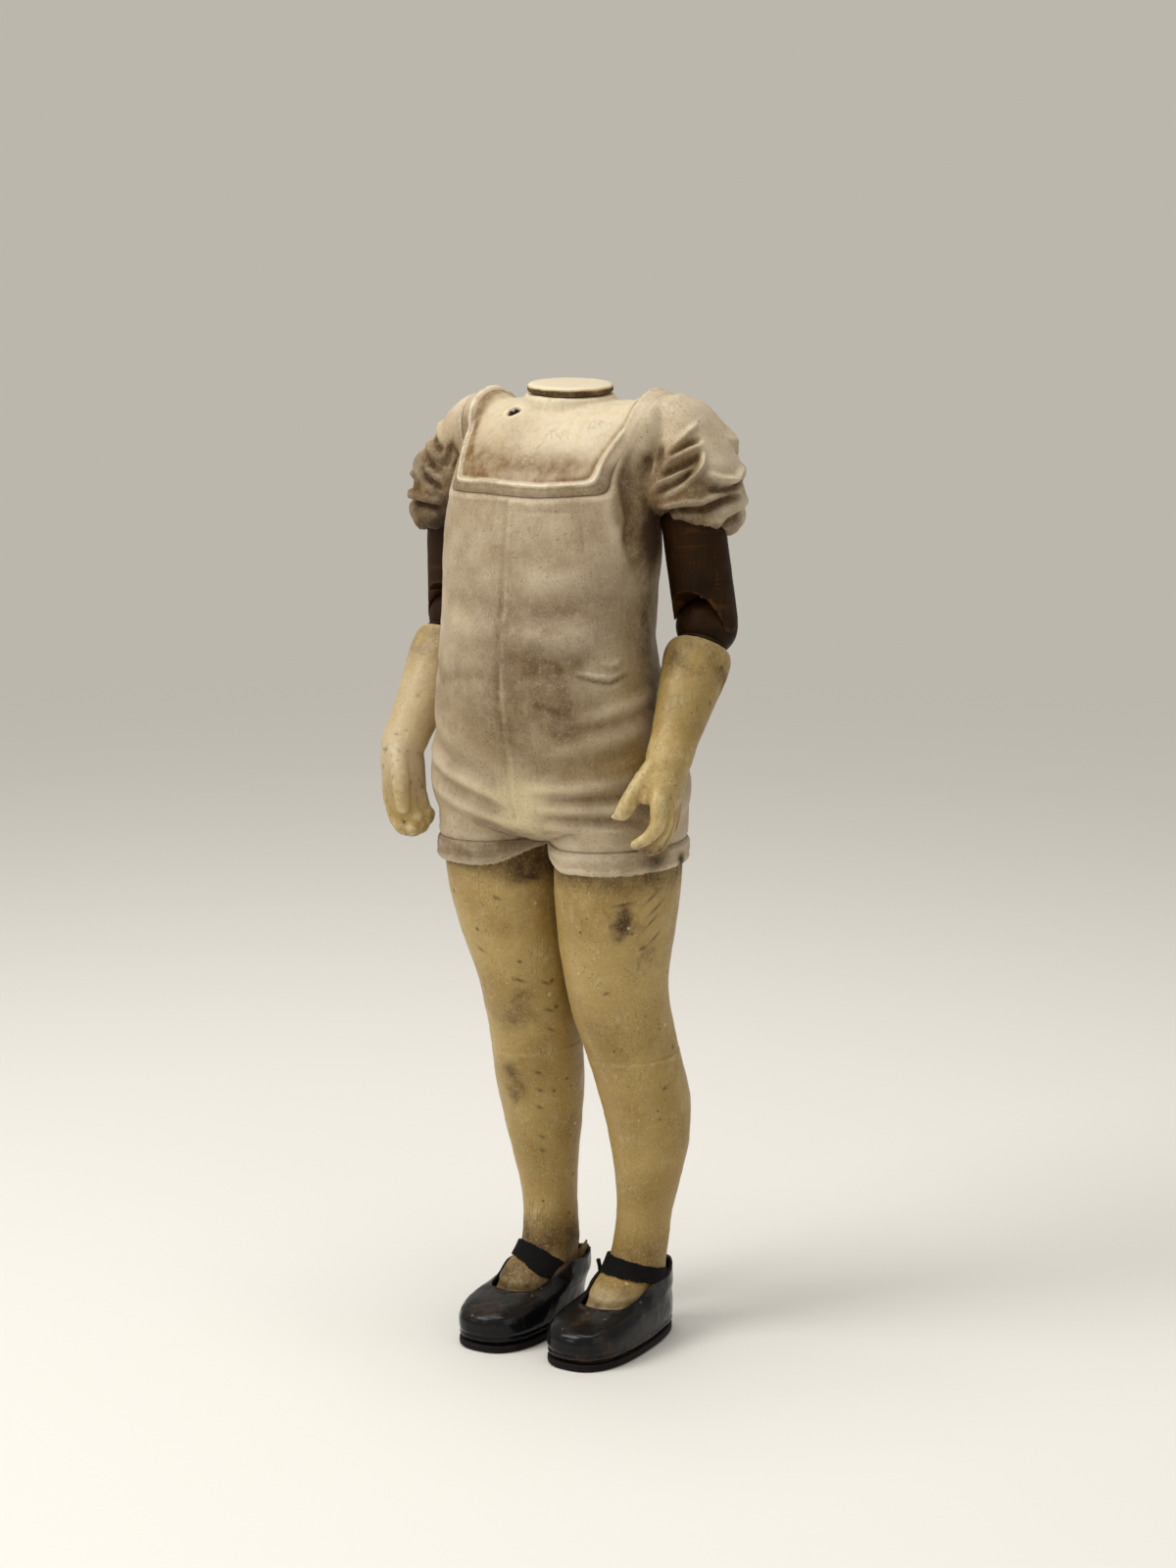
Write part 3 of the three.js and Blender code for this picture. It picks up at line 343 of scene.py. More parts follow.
class MannequinColours(bpy.types.PropertyGroup):
    """Colours of the finishes and of the stage."""

    romper: colour("Romper", 200, 182, 153, "Grey wash over the moulded romper")
    romper_dark: colour("Romper shade", 162, 141, 111, "Darker passages of the wash")
    # Pale wash for the painted highlight on ridges, sleeve tops and the left strap, for wash rubbed on
    # edges, and for pale grit specks
    romper_pale: colour("Rubbed romper", 222, 208, 180, "Wash on ridges and sleeve caps")
    casting: colour("Casting", 180, 152, 91, "Aged casting")
    casting_pale: colour("Pale casting", 220, 203, 158, "Rubbed casting")
    casting_deep: colour("Deep casting", 156, 127, 68, "Yellowed casting in thick parts")
    # Pale casting; also used for the painted highlight on the neckline's lip and the painted light on the
    # neck cap's top
    neck: colour("Neck", 226, 213, 188, "Pale casting of the neck and chest")
    # Colour of old dirt and of the painted shade in the romper's recesses, undersides and grooves; also
    # of dark specks and nicks
    grime: colour("Grime", 62, 42, 22, "Old dirt in the recesses")
    # Also the colour of the painted shade in the recesses of the bare casting
    stain: colour("Stain", 78, 53, 24, "Brown stains on the bare casting")
    # Brown of the painted shade on the romper and at the bare chest's edge; the same brown also colours
    # fine grit specks
    painted_shade: colour("Brown glaze", 90, 64, 24, "Brown glaze in the folds of the romper")
    # Brown of the painted shade and of the brown stain along the edge of the bare chest
    skin_shade: colour("Chest shade", 112, 78, 24, "Brown glaze at the edge of the bare chest")
    # Dark inside of the hole: painted shade and dirt
    hole: colour("Hole", 40, 24, 12, "Inside of the small hole below the neck")
    wood: colour("Stained wood", 42, 25, 8, "Dark stain of the turned arms")
    wood_light: colour("Rubbed wood", 84, 53, 22, "Wood where the stain is rubbed")
    shoe: colour("Shoe", 17, 17, 19, "Blue-black paint of the shoes")
    shoe_rubbed: colour("Rubbed shoe", 66, 50, 38, "Shoe paint where it is rubbed")
    strap: colour("Strap", 8, 8, 7, "Flat black of the straps")
    sole: colour("Sole", 20, 17, 15, "Brown-black sole edge")
    dowel: colour("Dowel", 176, 138, 88, "Bare dowels inside the figure")
    steel: colour("Steel", 150, 150, 148, "Pins inside the elbows")
    floor: colour("Floor", 234, 230, 220, "Pale floor")
    distance: colour("Far floor", 188, 183, 172, "Pale floor in the distance")


# Arrays and shapes


def ease(value, low, high):
    """Smooth step: 3t^2 - 2t^3 of the share of value between low and high."""
    share = np.clip((value - low) / (high - low), 0, 1)
    return share * share * (3 - 2 * share)


def bump(value, middle, spread):
    """Bell: exp of minus the squared distance from the middle in spreads."""
    return np.exp(-(((value - middle) / spread) ** 2))


def between(value, low, rise, fall, high):
    """Smooth window: up from low to rise, and down again from fall to high."""
    return ease(value, low, rise) * ease(value, high, fall)


def near(points, place, reach, weights=(1, 1, 1)):
    """Bell of the weighted distance from a place, in reaches."""
    return bump(np.linalg.norm((points - np.array(place)) * weights, axis=1), 0, reach)


def unit(vector):
    """Vector of length one."""
    vector = np.asarray(vector, float)
    return vector / np.linalg.norm(vector, axis=-1, keepdims=True)


def through(knots, values, at):
    """Cubic between each pair of knots, with end slopes weighed from the chords on both sides."""
    steps = np.diff(knots)[:, None]
    chords = np.diff(values, axis=0) / steps
    inner = (chords[:-1] * steps[1:] + chords[1:] * steps[:-1]) / (steps[1:] + steps[:-1])
    slopes = np.vstack([chords[:1], inner, chords[-1:]])
    i = np.clip(np.searchsorted(knots, at) - 1, 0, len(knots) - 2)
    h = (knots[i + 1] - knots[i])[:, None]
    t = ((at - knots[i])[:, None]) / h
    low = (2 * t**3 - 3 * t**2 + 1) * values[i] + (t**3 - 2 * t**2 + t) * slopes[i] * h
    high = (3 * t**2 - 2 * t**3) * values[i + 1] + (t**3 - t**2) * slopes[i + 1] * h
    return low + high


def lofted(rows, count):
    """Table rows drawn out to count rows, even along the path that the rows make together."""
    rows = np.asarray(rows, float)
    knots = np.concatenate([[0], np.cumsum(np.linalg.norm(np.diff(rows, axis=0), axis=1))])
    return through(knots, rows, np.linspace(0, knots[-1], count))


def turn(columns):
    """Angles of one full turn."""
    return np.linspace(0, 2 * np.pi, columns, endpoint=False)


def oval(columns, power=2.0):
    """Unit rounded oval: sign(c)|c|^(2/power) of the cosine and sine of each angle."""
    angle = turn(columns)
    shares = []
    for wave in (np.cos(angle), np.sin(angle)):
        shares.append(np.sign(wave) * np.abs(wave) ** (2 / np.asarray(power)))
    return shares


def tube(centres, first, second, columns, power=2.0):
    """Ring round each centre: centre + u first + v second over the unit oval (u, v)."""
    u, v = oval(columns, power)
    u, v = np.broadcast_to(u, (len(centres), columns)), np.broadcast_to(v, (len(centres), columns))
    return centres[:, None] + u[..., None] * first[:, None] + v[..., None] * second[:, None]


def level_tube(x, y, z, wide, deep, columns, power=2.0):
    """Horizontal ovals of the given half sizes, one for each height."""
    flat = np.zeros_like(z)
    centres = np.stack([x + flat, y + flat, z], -1)
    first = np.stack([wide + flat, flat, flat], -1)
    second = np.stack([flat, deep + flat, flat], -1)
    return tube(centres, first, second, columns, power)


def turned(profile, origin, axis, columns, smooth=0):
    """Lathe: each (radius, distance) of the profile swept round an axis through the origin."""
    profile = np.asarray(profile, float)
    if smooth:
        profile = lofted(profile, smooth)
    axis = unit(axis)
    first = unit(np.cross(axis, (0.3, 0.9, 0.2)))
    second = np.cross(axis, first)
    centres = np.asarray(origin) + profile[:, 1:] * axis
    radius = np.maximum(profile[:, :1], 1e-4)
    return tube(centres, radius * first, radius * second, columns)


def path_tube(path, radii, side, columns, power=2.0):
    """Round tube along a path; the ring's axes are square to the path and near to side."""
    path = np.asarray(path, float)
    heading = unit(np.gradient(path, axis=0))
    first = unit(np.cross(heading, side))
    second = np.cross(heading, first)
    radii = np.asarray(radii, float)[:, None]
    return tube(path, radii * first, radii * second, columns, power)


def rounded_path(path, radii, count):
    """Path and radii drawn out smoothly, with a round tip: radius r cos(a) at reach r sin(a)."""
    rows = lofted(np.column_stack([path, radii]), count)
    tip = np.linspace(0.2, 0.98, 6) * np.pi / 2
    heading = unit(rows[-1, :3] - rows[-2, :3])
    end = rows[-1, :3] + rows[-1, 3] * np.sin(tip)[:, None] * heading
    ends = np.column_stack([end, rows[-1, 3] * np.cos(tip)])
    rows = np.vstack([rows, ends])
    return rows[:, :3], rows[:, 3]


def lean(points, height):
    """Shoulder lean: slope times the distance beyond the start, eased in with height."""
    x = points[..., 0]
    beyond = np.sign(x) * np.maximum(0, np.abs(x) - LEAN_START)
    return LEAN_SLOPE * ease(height, *LEAN_SPAN) * beyond


def leaned(points):
    """Points with the lean added to their heights."""
    points = np.array(points)
    points[..., 2] += lean(points, points[..., 2])
    return points


def upright_height(points):
    """Height before the lean, found by rounds of taking the lean off again."""
    height = points[:, 2]
    for _ in range(LEAN_ROUNDS):
        height = points[:, 2] - lean(points, height)
    return height


def grain(points, size, seed):
    """Smooth noise from -1 to 1: random values on a lattice, eased between its corners."""
    place = np.asarray(points) / size + seed * 17.31
    cell = np.floor(place).astype(np.int64)
    share = place - cell
    share = share * share * (3 - 2 * share)
    total = np.zeros(len(place))
    for corner in itertools.product((0, 1), repeat=3):
        c = cell + corner
        code = (c[:, 0] * 73856093) ^ (c[:, 1] * 19349663) ^ (c[:, 2] * 83492791) ^ (seed * 2654435)
        code = ((code ^ (code >> 13)) * 1274126177) & 0xFFFFFFFF
        value = ((code ^ (code >> 16)) & 0xFFFF) / 32767.5 - 1
        total += value * np.prod(np.where(corner, share, 1 - share), axis=1)
    return total


def off_line(across, height, path):
    """Distance of flat points from a line of points, and 0 to 1 along it."""
    path = np.asarray(path, float)
    spans = np.linalg.norm(np.diff(path, axis=0), axis=1)
    starts = np.concatenate([[0], np.cumsum(spans)])
    best = np.full(len(across), 1e9)
    along = np.zeros(len(across))
    for start, end, span, before in zip(path[:-1], path[1:], spans, starts):
        step = (end - start) / span
        reach = np.clip((across - start[0]) * step[0] + (height - start[1]) * step[1], 0, span)
        apart = np.hypot(across - start[0] - reach * step[0], height - start[1] - reach * step[1])
        nearer = apart < best
        best = np.where(nearer, apart, best)
        along = np.where(nearer, (before + reach) / starts[-1], along)
    return best, along


def relief(angle, height, per_degree, marks):
    """Creases and ridges: rise times a bell of the distance from each path, thin at the ends.
    A mark is (rise, half width, ((angle, height), ...)), with angles in degrees."""
    total = np.zeros(len(angle))
    across = angle * per_degree
    for rise, half, path in marks:
        flat = [(a * per_degree, z) for a, z in path]
        apart, along = off_line(across, height, flat)
        total += rise * bump(apart, 0, half) * (0.25 + 0.75 * np.sin(np.pi * along) ** 0.6)
    return total


# Meshes


def faces_in(points, quads, *fans):
    """Whether a skin faces inwards: the sum of p . (q x r) over its triangles is below zero."""
    triangles = np.vstack([quads[:, :3], quads[:, [0, 2, 3]], *fans])
    p, q, r = (points[triangles[:, k]] for k in range(3))
    return np.einsum("ij,ij->i", p, np.cross(q, r)).sum() < 0


def closed_skin(grid):
    """Quads over a grid of rings, each joined to itself, and a fan over each end, facing out."""
    rows, columns = grid.shape[:2]
    a = np.arange(rows * columns).reshape(rows, columns)
    b = np.roll(a, -1, axis=1)
    quads = np.stack([a[:-1], b[:-1], b[1:], a[1:]], -1).reshape(-1, 4)
    hubs = rows * columns, rows * columns + 1
    low = np.stack([np.full(columns, hubs[0]), b[0], a[0]], -1)
    high = np.stack([np.full(columns, hubs[1]), a[-1], b[-1]], -1)
    points = np.vstack([grid.reshape(-1, 3), grid[0].mean(0), grid[-1].mean(0)])
    if faces_in(points, quads, low, high):
        quads, low, high = quads[:, ::-1], low[:, ::-1], high[:, ::-1]
    return points, quads.tolist() + low.tolist() + high.tolist()


def ring_skin(grid):
    """Skin of a closed ring: the last row is the first again."""
    rows, columns = grid.shape[0] - 1, grid.shape[1]
    a = np.arange(rows * columns).reshape(rows, columns)
    b = np.roll(a, -1, axis=1)
    c, d = np.roll(a, -1, axis=0), np.roll(b, -1, axis=0)
    quads = np.stack([a, b, d, c], -1).reshape(-1, 4)
    points = grid[:-1].reshape(-1, 3)
    if faces_in(points, quads):
        quads = quads[:, ::-1]
    return points, quads.tolist()


def new_object(name, shells):
    """One object of several closed skins given in millimetres."""
    points, faces, start = [], [], 0
    for shell_points, shell_faces in shells:
        points.append(shell_points)
        faces += [[index + start for index in face] for face in shell_faces]
        start += len(shell_points)
    mesh = bpy.data.meshes.new(name)
    mesh.from_pydata(np.vstack(points) * MM, [], faces)
    mesh.update()
    made = bpy.data.objects.new(name, mesh)
    bpy.context.scene.collection.objects.link(made)
    return made


def fuse(made, cell):
    """Join the skins of an object as one skin by a voxel remesh."""
    remesh = made.modifiers.new("fuse", "REMESH")
    remesh.mode = "VOXEL"
    remesh.voxel_size = cell
    graph = bpy.context.evaluated_depsgraph_get()
    mesh = bpy.data.meshes.new_from_object(made.evaluated_get(graph))
    made.modifiers.clear()
    old, made.data = made.data, mesh
    mesh.name = made.name
    bpy.data.meshes.remove(old)


def points_of(made):
    """Points of an object's mesh in millimetres."""
    flat = np.empty(len(made.data.vertices) * 3, np.float32)
    made.data.vertices.foreach_get("co", flat)
    return flat.reshape(-1, 3).astype(float) / MM


def move_to(made, points):
    """Set an object's points, given in millimetres."""
    made.data.vertices.foreach_set("co", (points * MM).astype(np.float32).ravel())
    made.data.update()


def swell(made, points, normals, rise):
    """Move an object's points along their normals, each by its rise."""
    move_to(made, points + rise[:, None] * normals)


def normals_of(made):
    """Point normals of an object's mesh."""
    flat = np.empty(len(made.data.vertices) * 3, np.float32)
    made.data.vertex_normals.foreach_get("vector", flat)
    return flat.reshape(-1, 3).astype(float)


def edges_of(made):
    """Both ends of every edge, each way round."""
    flat = np.empty(len(made.data.edges) * 2, np.int32)
    made.data.edges.foreach_get("vertices", flat)
    ends = flat.reshape(-1, 2)
    return np.vstack([ends, ends[:, ::-1]])


def neighbour_mean(values, ends):
    """Mean of each point's neighbours."""
    count = np.maximum(1, np.bincount(ends[:, 0], minlength=len(values)))
    columns = values.reshape(len(values), -1)
    sums = [np.bincount(ends[:, 0], c[ends[:, 1]], minlength=len(values)) for c in columns.T]
    return (np.stack(sums, -1) / count[:, None]).reshape(values.shape)


def relax(made, rounds, share=0.5, back=-0.52):
    """Even out a skin: points go part way to their neighbours' mean, then part way back."""
    ends = edges_of(made)
    points = points_of(made)
    for _ in range(rounds):
        for step in (share, back):
            points = points + step * (neighbour_mean(points, ends) - points)
    move_to(made, points)


def keep(made, **layers):
    """Store layers of one value a point for the material."""
    for name, values in layers.items():
        layer = made.data.attributes.new(name, "FLOAT", "POINT")
        layer.data.foreach_set("value", np.asarray(values, np.float32))


def keep_hollows(made, reach):
    """Store how far each point lies below its neighbours' plane, in reaches, as "hollow":
    above zero in recesses and below zero on edges."""
    points, normals, ends = points_of(made), normals_of(made), edges_of(made)
    lift = np.einsum("ij,ij->i", neighbour_mean(points, ends) - points, normals)
    for _ in range(HOLLOW_ROUNDS):
        lift = neighbour_mean(lift, ends)
    keep(made, hollow=np.clip(lift / reach, -1, 1))


def new_piece(name, *grids):
    """Object of closed skins over grids of rings, with its points and normals."""
    made = new_object(name, [closed_skin(grid) for grid in grids])
    return made, points_of(made), normals_of(made)


def finish_piece(made, material, body, slot, *nodes):
    """Smooth shading and material; the piece rides on its body and stands for its nodes."""
    made.data.shade_smooth()
    made.data.materials.clear()
    made.data.materials.append(material)
    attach(made, body)
    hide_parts(*nodes)


def mirrored(points, side):
    """Points of the left side, or their mirror image for the right."""
    return points * (SIDES[side], 1, 1)


# Torso


def trunk_place(points):
    """Angle from the front, in degrees and positive to the left, and height before the lean."""
    height = upright_height(points)
    rows = np.asarray(TRUNK)
    clipped = np.clip(height, rows[0, 0], rows[-1, 0])
    y, wide, deep = (np.interp(clipped, rows[:, 0], rows[:, k]) for k in (1, 2, 3))
    angle = np.degrees(np.arctan2(points[:, 0] / wide, (y - points[:, 1]) / deep))
    return angle, height


def sleeve_place(points, height):
    """Angle round the sleeve from its front, positive outwards, and how far it is sleeve."""
    outward = np.abs(points[:, 0])
    x, y = SLEEVE_MIDDLE
    angle = np.degrees(np.arctan2(outward - x, y - points[:, 1]))
    share = ease(outward, 20.5, 23.5) * ease(height, 166.5, 168.5)
    return angle, share


# Folds of the romper: rise, half width and path of (angle, height)
TRUNK_FOLDS = (
    (-0.9, 1.7, ((-74, 133), (-48, 128.0), (-24, 124.6), (-6, 122.0))),
    (0.75, 1.5, ((-66, 127.6), (-46, 124.6), (-24, 121.6), (-4, 118.6))),
    (-0.85, 1.3, ((-60, 123.2), (-36, 120.4), (-14, 117.4), (2, 114.8))),
    (0.65, 1.3, ((-56, 119.6), (-34, 117.0), (-12, 114.4), (4, 112.6))),
    (-0.5, 1.1, ((-52, 116.2), (-30, 113.8), (-10, 111.8))),
    (0.5, 1.8, ((-80, 139.5), (-58, 134.6), (-36, 131), (-16, 129))),
    (-0.35, 1.8, ((-70, 145), (-48, 142.6), (-22, 143.4), (6, 144.7))),
    (0.8, 1.4, ((11, 121.6), (30, 121.8), (54, 122.4), (70, 124))),
    (-0.8, 1.1, ((12, 119.4), (30, 119.4), (56, 119.6), (72, 121))),
    (0.75, 1.2, ((12, 117.4), (32, 117.2), (58, 117.2))),
    (-0.75, 1.0, ((13, 115.4), (34, 115.0), (60, 114.6))),
    (0.6, 1.0, ((14, 113.6), (34, 113.0), (54, 112.4))),
    (-0.6, 1.5, ((14, 125.2), (36, 126.2), (60, 128.0), (80, 131))),
    (0.55, 1.6, ((16, 128.6), (40, 130.4), (64, 131.6), (84, 133.6))),
    (-0.7, 1.4, ((24, 132.4), (48, 134.2), (70, 135.0), (92, 137))),
    (0.75, 1.5, ((38, 135.4), (60, 137.0), (84, 137.8), (100, 139))),
    (-0.4, 0.55, ((18, 139.4), (28, 137.6), (39, 135.8))),
    (-0.6, 0.42, ((42, 144.4), (52, 143.2), (60, 142.6), (72, 143.8))),
    (0.4, 0.45, ((41, 145.4), (52, 144.2), (62, 143.6), (73, 144.9))),
    (0.4, 0.5, ((56, 146.6), (62, 146.0), (69, 147.0))),
    (-0.35, 2.4, ((-46, 160), (-20, 158.0), (-3, 158.6))),
    (0.4, 2.6, ((-44, 154.6), (-20, 153.0), (-3, 153.4))),
    (0.4, 2.4, ((4, 152.4), (26, 151.4), (54, 152.6))),
    (-0.45, 2.2, ((4, 148.0), (28, 146.4), (56, 148))),
    (0.35, 2.4, ((5, 164), (28, 163), (52, 164.6))),
    (-0.4, 2.2, ((5, 158.8), (28, 157.4), (56, 158.8))),
    (-1.5, 2.6, ((63, 187.5), (66, 183), (70, 177), (77, 168))),
    (-0.6, 1.4, ((60, 177), (66, 171), (76, 163))),
    (0.6, 1.8, ((54, 180), (58, 173), (65, 166))),
    (-1.2, 2.4, ((-60, 192), (-66, 185), (-71, 177), (-78, 168))),
    (-0.22, 0.4, ((4, 177), (21, 177.1), (38, 176.6))),
    (-0.22, 0.4, ((40, 175), (41, 172), (42, 168.6))),
    (-0.7, 1.3, ((68, 180.7), (71, 175), (70, 172), (65, 170.4))),
    (0.5, 1.2, ((62, 178), (65, 174), (61, 170.6))),
    (-0.8, 1.4, ((108, 126), (134, 121.6), (158, 119), (178, 117.4))),
    (0.7, 1.6, ((106, 130), (134, 125.6), (160, 122.6), (178, 121))),
    (-0.8, 1.4, ((-108, 126.4), (-134, 122), (-158, 119.4), (-178, 117.6))),
    (0.7, 1.6, ((-106, 130.4), (-134, 126), (-160, 123), (-178, 121.2))),
    (-0.6, 1.5, ((98, 135), (126, 131.4), (156, 130.6))),
    (-0.6, 1.5, ((-98, 135.4), (-126, 132), (-156, 131.2))),
    (0.5, 2.0, ((104, 142), (136, 138.6), (168, 139))),
    (0.5, 2.0, ((-104, 142.4), (-136, 139.2), (-168, 139.6))),
    (-0.4, 2.2, ((110, 150), (140, 147.4), (172, 148))),
    (-0.4, 2.2, ((-110, 150), (-140, 148), (-172, 148.6))),
)
SLEEVE_FOLDS = (
    (-0.9, 0.8, ((-28, 187), (-27, 185), (-25, 182.6))),
    (-1.0, 0.8, ((-14, 188), (-13, 185.6), (-8, 183))),
    (0.7, 0.7, ((2, 187.4), (13, 189.2), (24, 190.4), (42, 191.4))),
    (-0.9, 0.7, ((0, 186.4), (12, 187.4), (24, 188.2), (46, 188.6))),
    (1.0, 0.8, ((-6, 183.8), (10, 185.6), (28, 186.8), (46, 187.8))),
    (-1.0, 0.8, ((-4, 182), (13, 183.6), (30, 184.9), (43, 186))),
    (0.7, 0.6, ((-8, 180.8), (11, 182.3), (24, 183.4))),
    (-1.2, 0.6, ((-8, 178.9), (10, 180.7), (24, 182), (34, 183.3), (40, 185))),
    (1.2, 0.8, ((24, 181), (34, 182.2), (42, 183.8), (47, 186.2))),
    (1.2, 0.75, ((49, 182.2), (65, 180.8), (88, 180.2), (103, 181.4), (118, 182.2))),
    (-1.5, 0.75, ((48, 179.2), (62, 178.7), (80, 178.6), (104, 179.4), (124, 180.2))),
    (0.9, 0.8, ((-6, 176.2), (10, 176.6), (24, 177), (42, 176.8), (61, 178), (96, 178.2))),
    (-1.9, 0.75, ((-4, 174.8), (10, 175.3), (24, 175.5), (41, 175.5), (62, 176.7), (94, 177.2))),
    (0.9, 1.2, ((50, 173), (70, 174.4), (100, 175.6), (130, 175.4))),
    (-0.9, 0.9, ((68, 170.8), (78, 172.4), (98, 173.2))),
    (0.9, 1.1, ((84, 169.8), (94, 171.4), (110, 171.8))),
    (0.7, 1.0, ((150, 190), (130, 187), (112, 188))),
    (-0.9, 0.9, ((156, 187), (136, 183.6), (116, 185.4))),
    (0.8, 1.0, ((164, 183.6), (146, 180.2), (130, 182.4))),
    (-1.3, 0.8, ((172, 178), (154, 177.4), (124, 178.6))),
    (-0.7, 0.8, ((150, 170), (146, 173), (150, 176))),
    (0.6, 1.0, ((132, 169.6), (130, 172), (128, 173.6))),
)


def neckline_inset(points, height, sizes):
    """Distance inside the neckline, below zero on the dress: the least of strap edge minus
    breadth and height minus the lower edge, where the strap edge drifts out as it rises."""
    half = sizes.neckline_half / MM
    low, back = sizes.neckline_height / MM, sizes.back_neckline / MM
    lower = low + (back - low) * ease(points[:, 1], -2, 8)
    edge = half + 3.0 * ease(height, low, 197)
    corner = 1.6
    across = edge - np.abs(points[:, 0])
    above = height - lower
    apart = np.clip((across - above) / corner, -1, 1)
    return np.minimum(across, above) - 0.25 * corner * (1 - np.abs(apart)) ** 2


def hem_level(outward):
    """Height of a trouser leg's hem at a distance from the middle plane."""
    return HEM_HEIGHT + HEM_INNER_RISE * ease(outward, HEM_RISE_FROM, 0)


def hem_rise(points, height):
    """Height above the hem."""
    return height - hem_level(np.abs(points[:, 0]))


def mouth_lift(points, height):
    """Slant of the sleeve's mouth: highest at the front next to the body, none above the tuck."""
    x, y = MOUTH_MIDDLE
    angle = np.arctan2(np.abs(points[..., 0]) - x, y - points[..., 1])
    wave = np.cos(angle - math.radians(MOUTH_HIGH_AT))
    left = points[..., 0] > 0
    slant = np.where(left, MOUTH_SLANT["left"], MOUTH_SLANT["right"])
    drop = np.where(left, MOUTH_DROP["left"], MOUTH_DROP["right"])
    return (slant * wave - drop) * ease(height, 184, MOUTH_HEIGHT)


def torso_shells():
    """Closed skins of trunk, neck, shoulders, sleeves and cuffs before they are joined."""
    rows = lofted(TRUNK, 150)
    trunk = level_tube(0, rows[:, 1], rows[:, 0], rows[:, 2], rows[:, 3], 180, rows[:, 4:5])
    shells = [closed_skin(leaned(trunk))]
    shells.append(closed_skin(turned(NECK, (0, NECK_Y, 0), (0, 0, 1), 120, 40)))
    polar = np.linspace(0.03, np.pi - 0.03, 40)
    centre, size = np.array(SHOULDER_AT), np.array(SHOULDER_SIZE)
    ball = level_tube(
        centre[0], centre[1], centre[2] + size[2] * np.cos(polar),
        size[0] * np.sin(polar), size[1] * np.sin(polar), 60,
    )
    rows = lofted(SLEEVE, 90)
    sleeve = level_tube(
        rows[:, 1], rows[:, 2], rows[:, 0], rows[:, 3], rows[:, 3] * SLEEVE_DEPTH, 120
    )
    share, reach = np.array(CUFF_RINGS).T
    reach = CUFF_REACH + reach
    cuff = level_tube(THIGH[1], THIGH[2], share, THIGH[3] + reach, THIGH[4] + reach, 120)
    hem = hem_level(cuff[..., 0])
    cuff[..., 2] = hem + (CUFF_TOP - hem) * cuff[..., 2]
    for side in SIDES:
        puff = mirrored(sleeve, side)
        puff[..., 2] += mouth_lift(puff, puff[..., 2])
        for form in (mirrored(ball, side), puff, mirrored(cuff, side)):
            shells.append(closed_skin(leaned(form)))
    return shells


def arm_axis(side):
    """Direction of the upper arm, from the elbow up."""
    return unit((-ARM_INWARD * SIDES[side], -ARM_FORWARD, 1))


def open_sockets(points):
    """Push the skin up where arms and legs enter: along the arm inside the sleeve's mouth, and
    straight up inside each thigh's oval."""
    height = upright_height(points)
    for side in SIDES:
        axis = arm_axis(side)
        offset = points - ELBOW[side]
        off_axis = np.linalg.norm(offset - (offset @ axis)[:, None] * axis, axis=1)
        rise = height - MOUTH_HEIGHT - mouth_lift(points, height)
        inside = ease(off_axis, *ARM_SOCKET) * (np.abs(rise) < 1.0)
        points = points + (ARM_SOCKET_DEPTH * inside)[:, None] * axis
        x = points[:, 0] * SIDES[side]
        across = (x - THIGH[1]) / (THIGH[3] + THIGH_GAP)
        along = (points[:, 1] - THIGH[2]) / (THIGH[4] + THIGH_GAP)
        inside = ease(np.hypot(across, along), 1.0, 0.97) * (height < 109.5)
        points[:, 2] += THIGH_SOCKET_DEPTH * inside * (np.abs(hem_rise(points, height)) < 0.8)
    return points


def hole_distance(points):
    """Distance from the middle of the small hole, made uneven for its chipped edge."""
    return np.linalg.norm(points - HOLE, axis=1) + 0.35 * grain(points, 0.9, 8)


def strap_fade(points, height):
    """How far the band's outer seam is lost, up the left shoulder strap."""
    return 0.9 * ease(points[:, 0], 13, 16.5) * ease(height, 183.5, 187)


